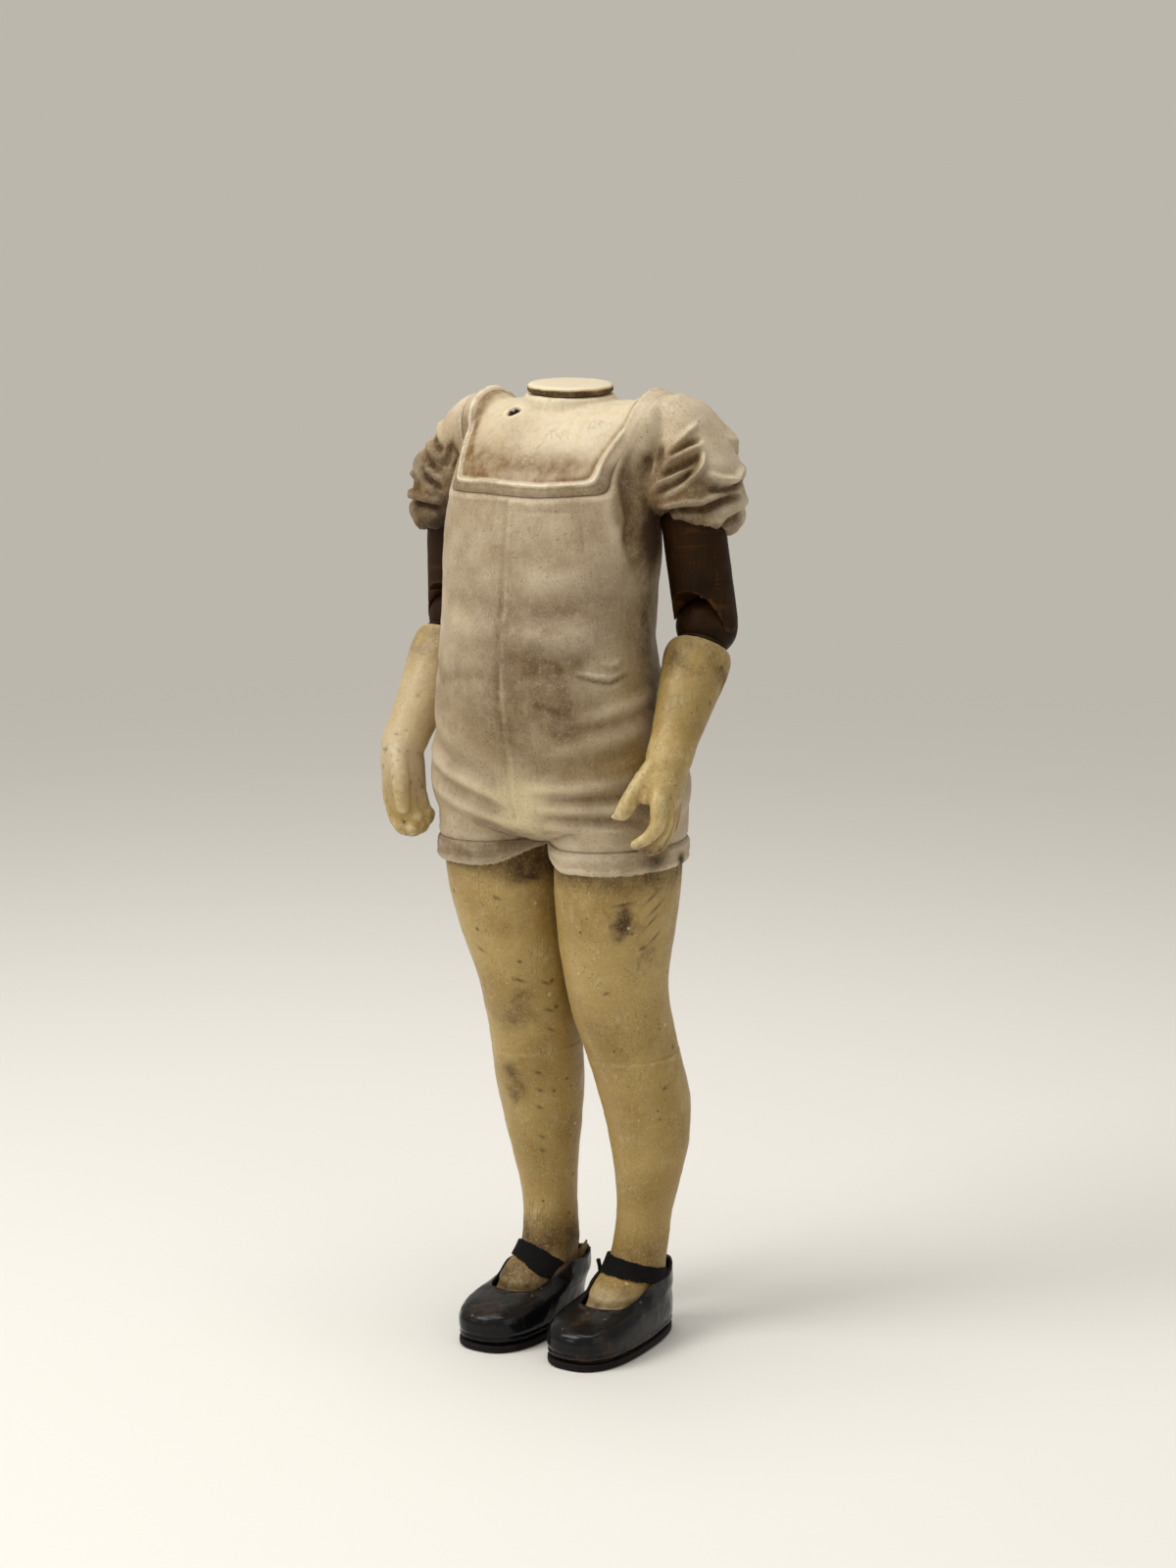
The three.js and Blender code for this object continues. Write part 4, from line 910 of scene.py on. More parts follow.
def torso_relief(points, normals, sizes):
    """Rise of the dress off the smooth torso: neckline step, bands, seams, folds and hems."""
    angle, height = trunk_place(points)
    sleeve_angle, sleeve = sleeve_place(points, height)
    fold = sizes.fold_depth / MM
    band, rise = sizes.band_width / MM, sizes.band_rise / MM
    inset = neckline_inset(points, height, sizes)
    dressed = ease(inset, 0.3, -0.35)
    upper = ease(height, 176, 178)
    total = rise * (dressed - 0.75 * ease(height, 196, 189))
    total += 0.4 * bump(inset, -0.4, 0.36) * upper
    seamed = upper * (1 - strap_fade(points, height))
    total -= 0.3 * bump(inset, -band, 0.5) * seamed
    total += 0.18 * bump(inset, -band - 0.9, 0.6) * seamed
    hips = ease(height, 142, 132)
    flat = 1 - hips * (0.15 + 0.6 * bump(np.abs(angle), 82, 26))
    folds = relief(angle, height, TRUNK_DEGREE, TRUNK_FOLDS) * flat
    folds = folds * (1 - sleeve) * ease(inset, -band, -band - 1.5)
    tucks = relief(sleeve_angle, height, SLEEVE_DEGREE, SLEEVE_FOLDS)
    pleats = 0.22 * np.sin(np.radians(sleeve_angle) * 13 + 2 * grain(points, 6, 3))
    pleats *= bump(height - mouth_lift(points, height), 172.6, 1.6) + 0.5 * bump(height, 177, 2.5)
    total += fold * (folds + sleeve * (1.25 * tucks + pleats))
    crease = folds + sleeve * tucks
    front = ease(-normals[:, 1], 0.2, 0.6)
    seam = points[:, 0] - 0.018 * np.maximum(0, 154 - height) + 0.3
    body = ease(height, 112, 116) * ease(inset, -band, -band - 1.0)
    total += body * front * (0.22 * bump(seam, 0.9, 0.8) - 0.26 * bump(seam, -0.1, 0.5))
    crease -= 0.3 * body * front * bump(seam, -0.1, 0.7)
    hems = hem_rise(points, height)
    outward = np.abs(points[:, 0])
    low = ease(height, 114, 111) * ease(outward, 0.3, 1.5)
    full = sizes.hem_height / MM
    hem = full * (1 - 0.6 * ease(outward, HEM_RISE_FROM, 0))
    total += low * (0.25 * ease(hems, hem + 0.3, hem - 0.3) - 0.4 * bump(hems, hem + 0.3, 0.5))
    total -= low * 0.18 * bump(hems, 1.3, 0.4)
    hems = hems * full / hem
    total -= 2.0 * ease(hole_distance(points), 1.5, 0.95)
    total += 0.10 * grain(points, 3.2, 5) + 0.05 * grain(points, 1.3, 6)
    total += 0.25 * grain(points, 11, 7) * dressed
    return total, inset, hems, crease, angle, height


# Yellow-brown passages of the romper, yellowed casting with painted shade, on the left hip, flank and
# side and the lower belly: depth, angle and its reach, height and its reach
AMBER_AND_SHADE_PATCHES = (
    (1.0, 60, 22, 122, 12), (0.45, 76, 20, 142, 12), (0.5, 5, 40, 133, 9), (0.4, 75, 16, 172, 12),
)
# Broad passages of painted shade, with brown dirt on the belly and the painted shadow of the left hand:
# depth, angle, height, reach
SHADE_AND_DIRT_PATCHES = (
    (0.72, 10, 147, 17), (0.55, 8, 132, 8), (0.75, 58, 119, 9), (0.2, -35, 170, 14),
    (0.35, 60, 160, 10), (0.3, 43, 172, 3.2), (0.25, -50, 140, 9), (0.3, 40, 137, 8),
)


def torso_shade(points, angle, height, inset, crease, hems):
    """Painted shade from 0 to 1, laid in brown: in creases, down the flanks with some dirt, round the
    armholes, in the sleeves' hollows and under their mouths, and in broad passages with some dirt on the
    belly; a darker tone on the neckline band and hem bands; and brown stain with painted shade along the
    neckline's lower and right edges and below the neck on the bare chest."""
    sleeve_angle, sleeve = sleeve_place(points, height)
    right = ease(points[:, 0], 2, -2)
    # Painted shade down the flanks, round the armholes, in the sleeves' hollows and under their mouths
    flank = 0.85 * bump(angle, 90, 19) * between(height, 114, 138, 174, 188)
    flank += 0.5 * bump(angle, -98, 20) * between(height, 120, 146, 172, 186)
    armhole = 0.7 * bump(np.abs(angle), 76, 11) * between(height, 160, 174, 181, 188)
    hollow = 0.95 * sleeve * ease(sleeve_angle, 58, 12) * between(height, 170, 178, 184, 191)
    hollow += 0.9 * sleeve * right * ease(height, 193, 183)
    under = 0.45 * sleeve * bump(sleeve_angle, 80, 26) * bump(height, 171.5, 2.5)
    patches = np.zeros(len(points))
    for depth, at, level, reach in SHADE_AND_DIRT_PATCHES:
        apart = np.hypot((angle - at) * TRUNK_DEGREE, height - level)
        patches += depth * bump(apart, 0, reach) * (1 - sleeve)
    chest = ease(inset, 0.0, 0.6)
    # Bare chest: brown stain and painted shade along the neckline's edges, and painted shade below the
    # neck
    collar = 1.1 * bump(inset, 0.8, 1.5) * ease(-points[:, 0], 5, 13)
    patchy = 0.95 + 0.45 * grain(points, 4.0, 15)
    collar += patchy * bump(height, 185.6, 3.0) * ease(points[:, 0], 17, 11)
    collar += 0.3 * near(points, (-3, -8, 190.5), 4.5)
    collar += 0.5 * bump(inset, 0.4, 0.7) * ease(points[:, 0], 6, 12)
    collar += 0.35 * bump(inset, 0.3, 0.8) + 0.3 * bump(height, 188, 5) * ease(-points[:, 0], -4, 10)
    band = 0.65 * between(inset, -2.9, -2.5, -1.0, -0.6) * ease(height, 195, 192)
    band *= 1 - 0.9 * ease(points[:, 0], 8, 15) * ease(height, 183, 187)
    # Painted shade in the creases of the folds, less on the hips
    creases = np.clip(-crease, 0, 1.2) * (0.75 + 0.25 * sleeve) * (1 - 0.6 * ease(height, 140, 130))
    cuff = between(hems, -0.2, 0.8, 4.0, 4.6) * (height < 112) * (0.25 + 0.6 * right)
    dressed = flank + armhole + hollow + under + patches + band + cuff
    dressed = dressed * (0.85 + 0.35 * grain(points, 7, 16)) + creases + 0.1 * grain(points, 12, 17)
    return np.clip(chest * collar + (1 - chest) * dressed, 0, 1)


def torso_grime(points, normals, angle, height):
    """Painted shade and dirt from 0 to 1: crusted dirt at the armpits, dirt and painted shade down the
    left flank, a dark chipped spot on the left hem with the painted shadow of the left hand beside it,
    painted shade on undersides and on the right sleeve, and 2 more inside the hole at the neck, painted
    shade and dirt."""
    armpit = near(points, (23.6, -2.6, 172.5), 4.4, (1, 1, 0.75))
    armpit += 0.6 * near(points, (-23.0, -3.2, 171), 5)
    flank = 0.4 * bump(angle, 93, 10) * between(height, 130, 150, 166, 176)
    # A dark chipped spot on the left hem, and the painted shadow of the left hand on the hip beside it
    chip_and_hand_shadow = near(points, (27.4, 2.6, 105.8), 1.6)
    chip_and_hand_shadow += 0.75 * near(points, (25.8, -5.6, 107.4), 2.4, (1, 0.7, 1))
    # Painted shade on undersides and on the right sleeve
    under = 0.3 * ease(-normals[:, 2], 0.15, 0.8)
    _, sleeve = sleeve_place(points, height)
    under += 0.3 * sleeve * ease(points[:, 0], 2, -2) * ease(height, 192, 182)
    # Inside the hole: painted shade and dirt
    hole = ease(hole_distance(points), 1.75, 1.2)
    return np.clip(armpit + flank + under + chip_and_hand_shadow, 0, 1) + 2.0 * hole


def torso_highlights(points, normals, height, hems, crease, faded):
    """Painted highlight from 0 to 1: on raised folds, on the caps and upward faces of the sleeves, and on
    the strap whose seam is lost; also paler lower edges of the hems."""
    around, sleeve = sleeve_place(points, height)
    folds = crease * (1 - 0.45 * sleeve * ease(around, 50, 20))
    # Painted light on the sleeves' caps, mostly the left one, and on their upward faces
    cap = 0.95 * sleeve * ease(around, 30, 70) * ease(height, 179, 186)
    cap = cap * np.where(points[:, 0] > 0, 1.0, 0.2)
    cap += 0.5 * sleeve * ease(normals[:, 2], 0.3, 0.8)
    cap += 0.8 * bump(hems, 0.2, 0.45) * (height < 110) + 0.6 * faded
    return np.clip(folds + cap, 0, 1)


def torso_worn(angle, height, crease):
    """Wash rubbed away from 0 to 1: round the crotch, and wider on its ridges."""
    worn = 0.9 * bump(angle, 4, 13) * bump(height, 117, 9)
    worn += 1.1 * np.clip(crease, 0, 1) * bump(angle, 4, 48) * bump(height, 119, 10)
    return np.clip(worn, 0, 1)


def torso_amber_and_shade(points, angle, height):
    """Yellow-brown from 0 to 1, yellowing with painted shade: passages of the trunk, the left sleeve's
    front and the right sleeve.
    """
    around, sleeve = sleeve_place(points, height)
    amber = np.zeros(len(points))
    for depth, at, breadth, level, reach in AMBER_AND_SHADE_PATCHES:
        amber += (1 - sleeve) * depth * bump(angle, at, breadth) * bump(height, level, reach)
    front = np.where(points[:, 0] < 0, 1.3, ease(around, 62, 22))
    amber += 0.5 * sleeve * front * ease(height, 193, 186)
    return np.clip(amber * (0.85 + 0.4 * grain(points, 6, 18)), 0, 1)


# Shader groups and materials


class Finish:
    """Node tree of a finish; each method adds one node."""

    def __init__(self, tree):
        self.tree = tree

    def put(self, kind, sockets=None, **settings):
        """Add a node, apply its settings, fill its sockets with values or links, and return it."""
        node = self.tree.nodes.new(kind)
        for key, value in settings.items():
            setattr(node, key, value)
        for key, value in (sockets or {}).items():
            if isinstance(value, bpy.types.NodeSocket):
                self.tree.links.new(value, node.inputs[key])
            else:
                node.inputs[key].default_value = value
        return node

    def calc(self, operation, *values):
        """One step of arithmetic."""
        return self.put("ShaderNodeMath", dict(enumerate(values)), operation=operation).outputs[0]

    def times(self, first, second):
        """Product of two values."""
        return self.calc("MULTIPLY", first, second)

    def plus(self, first, second):
        """Sum of two values."""
        return self.calc("ADD", first, second)

    def minus(self, first, second):
        """First value less the second."""
        return self.calc("SUBTRACT", first, second)

    def rest(self, value):
        """What a value leaves of one."""
        return self.minus(1.0, value)

    def most(self, first, second):
        """Greater of two values."""
        return self.calc("MAXIMUM", first, second)

    def span(self, value, low, high, start=0.0, end=1.0):
        """Smooth step of a value between two levels."""
        sockets = {"Value": value, "From Min": low, "From Max": high, "To Min": start, "To Max": end}
        node = self.put("ShaderNodeMapRange", sockets, interpolation_type="SMOOTHSTEP")
        return node.outputs[0]

    def blend(self, share, low, high):
        """Mix of two colours."""
        node = self.put("ShaderNodeMix", {0: share, 6: low, 7: high}, data_type="RGBA")
        return node.outputs[2]

    def noise(self, place, scale, detail=3.0, roughness=0.55):
        """Noise from 0 to 1."""
        sockets = {"Vector": place, "Scale": scale, "Detail": detail, "Roughness": roughness}
        return self.put("ShaderNodeTexNoise", sockets).outputs[0]

    def stretched(self, place, scale, turn_by=(0, 0, 0)):
        """Coordinates scaled along each axis and then turned."""
        sockets = {"Vector": place, "Rotation": turn_by, "Scale": scale}
        return self.put("ShaderNodeMapping", sockets).outputs[0]

    def stored(self, name):
        """A value stored on the piece."""
        return self.put("ShaderNodeAttribute", attribute_name=name).outputs["Fac"]

    def use(self, name, **sockets):
        """Place a shared group, fill its sockets by name and return its outputs."""
        return self.put("ShaderNodeGroup", sockets, node_tree=bpy.data.node_groups[name]).outputs

    def connect(self, shader, shade, rough, height, depth):
        """Feed colour, roughness and a bump of the given depth to a shader."""
        rise = self.put("ShaderNodeBump", {"Height": height, "Distance": depth, "Strength": 1.0})
        for name, socket in (("Base Color", shade), ("Roughness", rough), ("Normal", rise.outputs[0])):
            self.tree.links.new(socket, shader.inputs[name])


def rgba(value):
    """Colour with full cover."""
    return (*value, 1.0)


def new_group(name, inputs, outputs):
    """Empty shader group with named sockets; returns its finish, its given values and a setter."""
    tree = bpy.data.node_groups.new(name, "ShaderNodeTree")
    for way, sockets in (("INPUT", inputs), ("OUTPUT", outputs)):
        for label, kind in sockets:
            tree.interface.new_socket(label, in_out=way, socket_type=kind)
    source = tree.nodes.new("NodeGroupInput").outputs
    sink = tree.nodes.new("NodeGroupOutput").inputs
    return Finish(tree), source, lambda label, socket: tree.links.new(socket, sink[label])


FLOAT, COLOUR, VECTOR = "NodeSocketFloat", "NodeSocketColor", "NodeSocketVector"


def make_specks_group():
    """Scattered round marks: one in some cells of a random pattern, of uneven size."""
    on, given, give = new_group(
        "Specks", [("Place", VECTOR), ("Scale", FLOAT), ("Share", FLOAT), ("Size", FLOAT)],
        [("Mask", FLOAT)],
    )
    cells = on.put("ShaderNodeTexVoronoi", {"Vector": given["Place"], "Scale": given["Scale"]})
    parts = on.put("ShaderNodeSeparateColor", {0: cells.outputs["Color"]}).outputs
    chosen = on.calc("LESS_THAN", parts[0], given["Share"])
    reach = on.times(given["Size"], on.plus(parts[1], 0.35))
    inside = on.span(cells.outputs["Distance"], reach, on.times(reach, 0.45))
    give("Mask", on.times(chosen, inside))


def make_grime_group():
    """A colour laid over another by a mask, used for dirt, dust and painted shade: the mask is broken up
    by noise at two scales.
    """
    on, given, give = new_group(
        "Grime",
        [("Place", VECTOR), ("Colour", COLOUR), ("Dirt", COLOUR), ("Mask", FLOAT), ("Scale", FLOAT)],
        [("Colour", COLOUR), ("Cover", FLOAT)],
    )
    broad = on.noise(given["Place"], given["Scale"], 4.0, 0.6)
    fine = on.noise(given["Place"], on.times(given["Scale"], 5.0), 4.0, 0.7)
    patchy = on.plus(on.times(broad, 0.7), on.times(fine, 0.5))
    level = on.plus(given["Mask"], on.minus(patchy, 0.6))
    cover = on.times(on.span(level, 0.05, 0.95), on.span(given["Mask"], 0.0, 0.3))
    give("Colour", on.blend(cover, given["Colour"], given["Dirt"]))
    give("Cover", cover)


def make_casting_group():
    """Aged casting: mottled tone, paler on rubbed edges, brown specks, pits, scratches, dirt, and painted
    shade in the recesses.
    """
    on, given, give = new_group(
        "Aged casting",
        [("Place", VECTOR), ("Tone", COLOUR), ("Pale", COLOUR), ("Deep", COLOUR), ("Dirt", COLOUR),
         ("Grime", FLOAT), ("Hollow", FLOAT)],
        [("Colour", COLOUR), ("Roughness", FLOAT), ("Height", FLOAT)],
    )
    place = given["Place"]
    broad = on.noise(place, 70.0, 3.0, 0.5)
    tone = on.blend(on.span(broad, 0.3, 0.72), given["Deep"], given["Tone"])
    cloud = on.noise(place, 190.0, 4.0, 0.6)
    tone = on.blend(on.span(cloud, 0.5, 0.8, 0.0, 0.3), tone, given["Pale"])
    edge = on.span(given["Hollow"], -0.05, -0.5)
    tone = on.blend(on.times(edge, 0.6), tone, given["Pale"])
    # Painted shade in the recesses, from the stored hollows, joins the stored dirt and shade
    crevice = on.span(given["Hollow"], 0.05, 0.6)
    level = on.plus(given["Grime"], on.times(crevice, 0.55))
    dirt_and_shade = on.use("Grime", Place=place, Colour=tone, Dirt=given["Dirt"], Mask=level, Scale=260.0)
    fine = on.use("Specks", Place=place, Scale=1500.0, Share=0.34, Size=0.34)["Mask"]
    dense = on.times(fine, on.span(on.noise(place, 120.0), 0.42, 0.66))
    spots = on.use("Specks", Place=place, Scale=520.0, Share=0.10, Size=0.3)["Mask"]
    marks = on.most(on.times(dense, 0.55), on.times(spots, 0.65))
    grit = on.noise(place, 2300.0, 3.0, 0.7)
    patches = on.span(on.noise(place, 85.0, 3.0, 0.6), 0.35, 0.65, 0.25, 1.0)
    streaks = on.noise(on.stretched(place, (2000, 2000, 190)), 1.0, 3.0, 0.7)
    gritty = on.times(on.span(grit, 0.54, 0.74, 0.0, 0.64), patches)
    streaked = on.times(on.span(streaks, 0.56, 0.72, 0.0, 0.5), patches)
    gritty = on.most(gritty, streaked)
    soiled = on.blend(gritty, dirt_and_shade["Colour"], given["Dirt"])
    soiled = on.blend(on.span(grit, 0.46, 0.24, 0.0, 0.48), soiled, given["Pale"])
    speckled = on.blend(marks, soiled, given["Dirt"])
    lines = on.put(
        "ShaderNodeTexVoronoi",
        {"Vector": on.stretched(place, (900, 900, 130), (0.5, 0.3, 0.9)), "Scale": 1.0},
        feature="DISTANCE_TO_EDGE",
    ).outputs["Distance"]
    scratch = on.times(on.span(lines, 0.03, 0.0), on.span(cloud, 0.55, 0.62))
    scratched = on.blend(on.times(scratch, 0.36), speckled, given["Dirt"])
    blisters = on.use("Specks", Place=place, Scale=430.0, Share=0.05, Size=0.2)["Mask"]
    give("Colour", on.blend(on.times(blisters, 0.6), scratched, given["Pale"]))
    rough = on.span(cloud, 0.3, 0.7, 0.36, 0.52)
    give("Roughness", on.plus(rough, on.times(dirt_and_shade["Cover"], 0.3)))
    relief_low = on.times(on.plus(marks, scratch), -0.5)
    relief_all = on.plus(relief_low, on.times(blisters, 0.9))
    give("Height", on.plus(relief_all, on.times(cloud, 0.35)))


def make_wood_group():
    """Stained turned wood: faint fibres along Z, slanting bands across, stain rubbed off edges."""
    on, given, give = new_group(
        "Turned wood",
        [("Place", VECTOR), ("Stain", COLOUR), ("Rubbed", COLOUR), ("Hollow", FLOAT)],
        [("Colour", COLOUR), ("Roughness", FLOAT), ("Height", FLOAT)],
    )
    place = given["Place"]
    fibre = on.noise(on.stretched(place, (1600, 1600, 110)), 1.0, 4.0, 0.65)
    tilted = on.stretched(place, (1, 1, 1), (0.16, 0.2, 0.0))
    rings = on.noise(on.stretched(tilted, (70, 70, 520)), 1.0, 4.0, 0.62)
    patch = on.noise(place, 150.0, 4.0, 0.6)
    tone = on.blend(on.span(fibre, 0.4, 0.72, 0.0, 0.2), given["Stain"], given["Rubbed"])
    ring_line = on.times(on.span(rings, 0.56, 0.7), on.span(patch, 0.4, 0.6))
    tone = on.blend(on.times(ring_line, 0.6), tone, given["Rubbed"])
    edge = on.times(on.span(given["Hollow"], -0.3, -0.8), on.span(fibre, 0.3, 0.6))
    tone = on.blend(on.times(edge, 0.8), tone, given["Rubbed"])
    dark = on.blend(on.span(patch, 0.55, 0.3, 0.0, 0.6), tone, rgba(DARKEST_STAIN))
    give("Colour", dark)
    give("Roughness", on.span(fibre, 0.3, 0.7, 0.42, 0.62))
    give("Height", on.plus(on.times(fibre, 0.5), rings))


def new_material(name, specular=0.3):
    """Material with one principled shader; returns material, finish, shader and object place."""
    material = bpy.data.materials.new(name)
    material.use_nodes = True
    on = Finish(material.node_tree)
    shader = on.tree.nodes["Principled BSDF"]
    shader.inputs["Specular IOR Level"].default_value = specular
    place = on.put("ShaderNodeTexCoord").outputs["Object"]
    return material, on, shader, place


def casting_sockets(on, place, colours):
    """The aged casting group with its colours and the piece's stored values."""
    return on.use(
        "Aged casting", Place=place, Tone=rgba(colours.casting), Pale=rgba(colours.casting_pale),
        Deep=rgba(colours.casting_deep), Dirt=rgba(colours.stain), Grime=on.stored("grime"),
        Hollow=on.stored("hollow"),
    )


def waxy(shader, radius):
    """Light that sinks a little way into the casting."""
    shader.inputs["Subsurface Weight"].default_value = 0.18
    shader.inputs["Subsurface Radius"].default_value = (1.0, 0.62, 0.3)
    shader.inputs["Subsurface Scale"].default_value = radius * MM


def casting_material(colours):
    """Bare aged casting."""
    material, on, shader, place = new_material("aged_casting")
    cast = casting_sockets(on, place, colours)
    # Paler where the piece stores it, in the pale casting colour; on the neck cap's top this is partly
    # painted light from above
    shade = on.blend(on.stored("pale"), cast["Colour"], rgba(colours.neck))
    nicked = on.times(on.stored("nick"), 0.8)
    shade = on.blend(nicked, shade, rgba(colours.grime))
    on.connect(shader, shade, cast["Roughness"], cast["Height"], 0.00012)
    waxy(shader, 1.6)
    return material


def torso_material(colours, sizes):
    """Grey wash over the casting, bare inside the neckline, rubbed on edges and at the crotch, with
    painted shade in brown, painted highlight on ridges and sleeve tops, and a painted highlight along the
    neckline's lip.
    """
    material, on, shader, place = new_material("romper_casting")
    cast = casting_sockets(on, place, colours)
    inset, hollow, ridge = on.stored("inset"), on.stored("hollow"), on.stored("ridge")
    worn, grime, shade = on.stored("worn"), on.stored("grime"), on.stored("shade")
    cloud = on.noise(place, 110.0, 5.0, 0.62)
    brushed = on.noise(on.stretched(place, (900, 900, 120)), 1.0, 3.0, 0.6)
    wash = on.blend(on.span(cloud, 0.22, 0.78), rgba(colours.romper_dark), rgba(colours.romper))
    wash = on.blend(on.span(brushed, 0.5, 0.75, 0.0, 0.4), wash, rgba(colours.romper))
    patchy = on.span(on.noise(place, 420.0, 4.0, 0.65), 0.25, 0.7, 0.65, 1.1)
    # Painted shade: the stored shade mask, broken up by noise, lays the brown over the wash
    painted_shade = on.times(shade, patchy)
    # Yellow-brown of yellowed casting and painted shade over the wash
    wash = on.blend(on.stored("amber"), wash, rgba(colours.casting_deep))
    wash = on.blend(on.times(painted_shade, 0.85), wash, rgba(colours.painted_shade))
    edge = on.times(on.span(hollow, -0.1, -0.6), on.span(cloud, 0.35, 0.6))
    ragged = on.plus(worn, on.times(on.minus(cloud, 0.5), 0.9))
    # Wash rubbed on edges and painted highlight on ridges, less where the painted shade lies
    raised = on.most(on.times(edge, 0.5), on.times(ridge, 0.65))
    # Less pale paint on the neckline band and where the painted shade lies
    banded = on.times(on.span(inset, -3.1, -2.7), on.span(inset, -0.7, -1.1))
    shaded = on.most(banded, on.times(shade, 0.75))
    flat = on.rest(on.times(shaded, 0.85))
    sharp = on.rest(on.times(on.stored("faded"), 0.75))
    flat = on.times(flat, sharp)
    wash = on.blend(on.times(raised, flat), wash, rgba(colours.romper_pale))
    wash = on.blend(on.span(ragged, 0.05, 1.1, 0.0, 0.75), wash, rgba(colours.casting_pale))
    grit = on.noise(place, 2400.0, 2.0, 0.6)
    # Fine grit specks, a real texture, in the same brown as the painted shade
    wash = on.blend(on.span(grit, 0.55, 0.8, 0.0, 0.5), wash, rgba(colours.painted_shade))
    wash = on.blend(on.span(grit, 0.45, 0.22, 0.0, 0.28), wash, rgba(colours.romper_pale))
    # Painted shade in the recesses, from the stored hollows, joins the stored dirt and shade
    crevice = on.span(hollow, 0.1, 0.6)
    level = on.plus(grime, on.times(crevice, 0.3))
    dirt_and_shade = on.use("Grime", Place=place, Colour=wash, Dirt=rgba(colours.grime), Mask=level, Scale=420.0)
    specks = on.use("Specks", Place=place, Scale=1300.0, Share=0.2, Size=0.3)["Mask"]
    wash = on.blend(on.times(specks, 0.35), dirt_and_shade["Colour"], rgba(colours.grime))
    tone = on.blend(0.65, cast["Colour"], rgba(colours.neck))
    strokes = on.noise(on.stretched(place, (700, 700, 90), (0.0, 0.6, 0.0)), 1.0, 4.0, 0.65)
    stroked = on.times(on.span(strokes, 0.42, 0.72), 0.35)
    tone = on.blend(stroked, tone, rgba(colours.casting))
    # Bare chest: brown stain and painted shade, laid by the shade mask
    skin = on.blend(on.times(painted_shade, 0.9), tone, rgba(colours.skin_shade))
    wobble = on.times(on.minus(on.noise(place, 700.0), 0.5), 0.4)
    bare = on.span(on.plus(inset, wobble), -0.05, 0.2)
    surface = on.blend(bare, wash, skin)
    # Painted highlight along the raised lip of the neckline, where the wash is rubbed too
    lip_highlight = on.span(on.calc("ABSOLUTE", on.plus(inset, 0.4)), 0.32, 0.06, 0.0, 0.55)
    lip_highlight = on.times(lip_highlight, on.span(patchy, 0.7, 0.95))
    lip_highlight = on.times(lip_highlight, sharp)
    surface = on.blend(lip_highlight, surface, rgba(colours.neck))
    band = sizes.band_width / MM
    stitch = on.span(on.calc("ABSOLUTE", on.plus(inset, band)), 0.3, 0.0)
    above = on.minus(on.stored("hem"), sizes.hem_height / MM + 0.25)
    hem = on.span(on.calc("ABSOLUTE", above), 0.32, 0.0)
    stitch = on.times(stitch, on.rest(on.stored("faded")))
    grooves = on.plus(stitch, hem)
    # Dark lines in the stitch and hem grooves: dirt and painted shade
    lined = on.blend(on.times(grooves, 0.4), surface, rgba(colours.grime))
    # Inside the hole: painted shade and dirt
    hole = on.span(grime, 1.1, 1.7)
    lined = on.blend(hole, lined, rgba(colours.hole))
    sheen = on.times(on.rest(bare), 0.06)
    rough = on.plus(cast["Roughness"], on.plus(sheen, on.times(hole, 0.5)))
    height = on.minus(cast["Height"], on.times(grooves, 1.6))
    height = on.plus(height, on.times(grit, 0.5))
    on.connect(shader, lined, rough, height, 0.00014)
    waxy(shader, 1.0)
    return material


def wood_material(colours, name):
    """Stained turned wood."""
    material, on, shader, place = new_material(name, 0.08)
    wood = on.use(
        "Turned wood", Place=place, Stain=rgba(colours.wood), Rubbed=rgba(colours.wood_light),
        Hollow=on.stored("hollow"),
    )
    on.connect(shader, wood["Colour"], wood["Roughness"], wood["Height"], 0.00012)
    return material


def shoe_material(colours):
    """Blue-black paint, rubbed brown on edges and in patches, dusty in the recesses, half gloss."""
    material, on, shader, place = new_material("shoe_paint", 0.2)
    hollow = on.stored("hollow")
    cloud = on.noise(place, 160.0, 5.0, 0.6)
    fine = on.noise(place, 1400.0, 3.0, 0.6)
    edge = on.times(on.span(hollow, -0.12, -0.7), on.span(cloud, 0.42, 0.62))
    patch = on.span(cloud, 0.5, 0.72, 0.0, 0.6)
    tone = on.blend(on.most(edge, patch), rgba(colours.shoe), rgba(colours.shoe_rubbed))
    dusty = on.use(
        "Grime", Place=place, Colour=tone, Dirt=rgba(DUST),
        Mask=on.times(on.span(hollow, 0.1, 0.8), 0.22), Scale=400.0,
    )
    scuffs = on.use("Specks", Place=place, Scale=800.0, Share=0.08, Size=0.3)["Mask"]
    shade = on.blend(on.times(scuffs, 0.3), dusty["Colour"], rgba(SCUFF))
    gloss = on.span(cloud, 0.35, 0.7, 0.13, 0.28)
    rough = on.plus(gloss, on.times(dusty["Cover"], 0.3))
    height = on.plus(on.times(fine, 0.5), cloud)
    on.connect(shader, shade, rough, height, 0.00008)
    return material


def plain_material(name, low, high, scale, rough, depth, metallic=0.0):
    """Two tones mixed by noise, with a fine grain."""
    material, on, shader, place = new_material(name, 0.5 if metallic else 0.12)
    cloud = on.noise(place, scale, 5.0, 0.62)
    fine = on.noise(place, scale * 6, 3.0, 0.6)
    shade = on.blend(on.span(cloud, 0.32, 0.7), rgba(low), rgba(high))
    gloss = on.span(fine, 0.3, 0.7, rough - 0.08, rough + 0.08)
    on.connect(shader, shade, gloss, on.plus(cloud, fine), depth)
    shader.inputs["Metallic"].default_value = metallic
    return material


# Operators


class PieceMaker:
    """What the operators share: their options, the sizes and the colours."""

    bl_options = {"REGISTER"}

    @property
    def sizes(self):
        """Sizes kept on the scene."""
        return bpy.context.scene.mannequin_sizes

    @property
    def colours(self):
        """Colours kept on the scene."""
        return bpy.context.scene.mannequin_colours


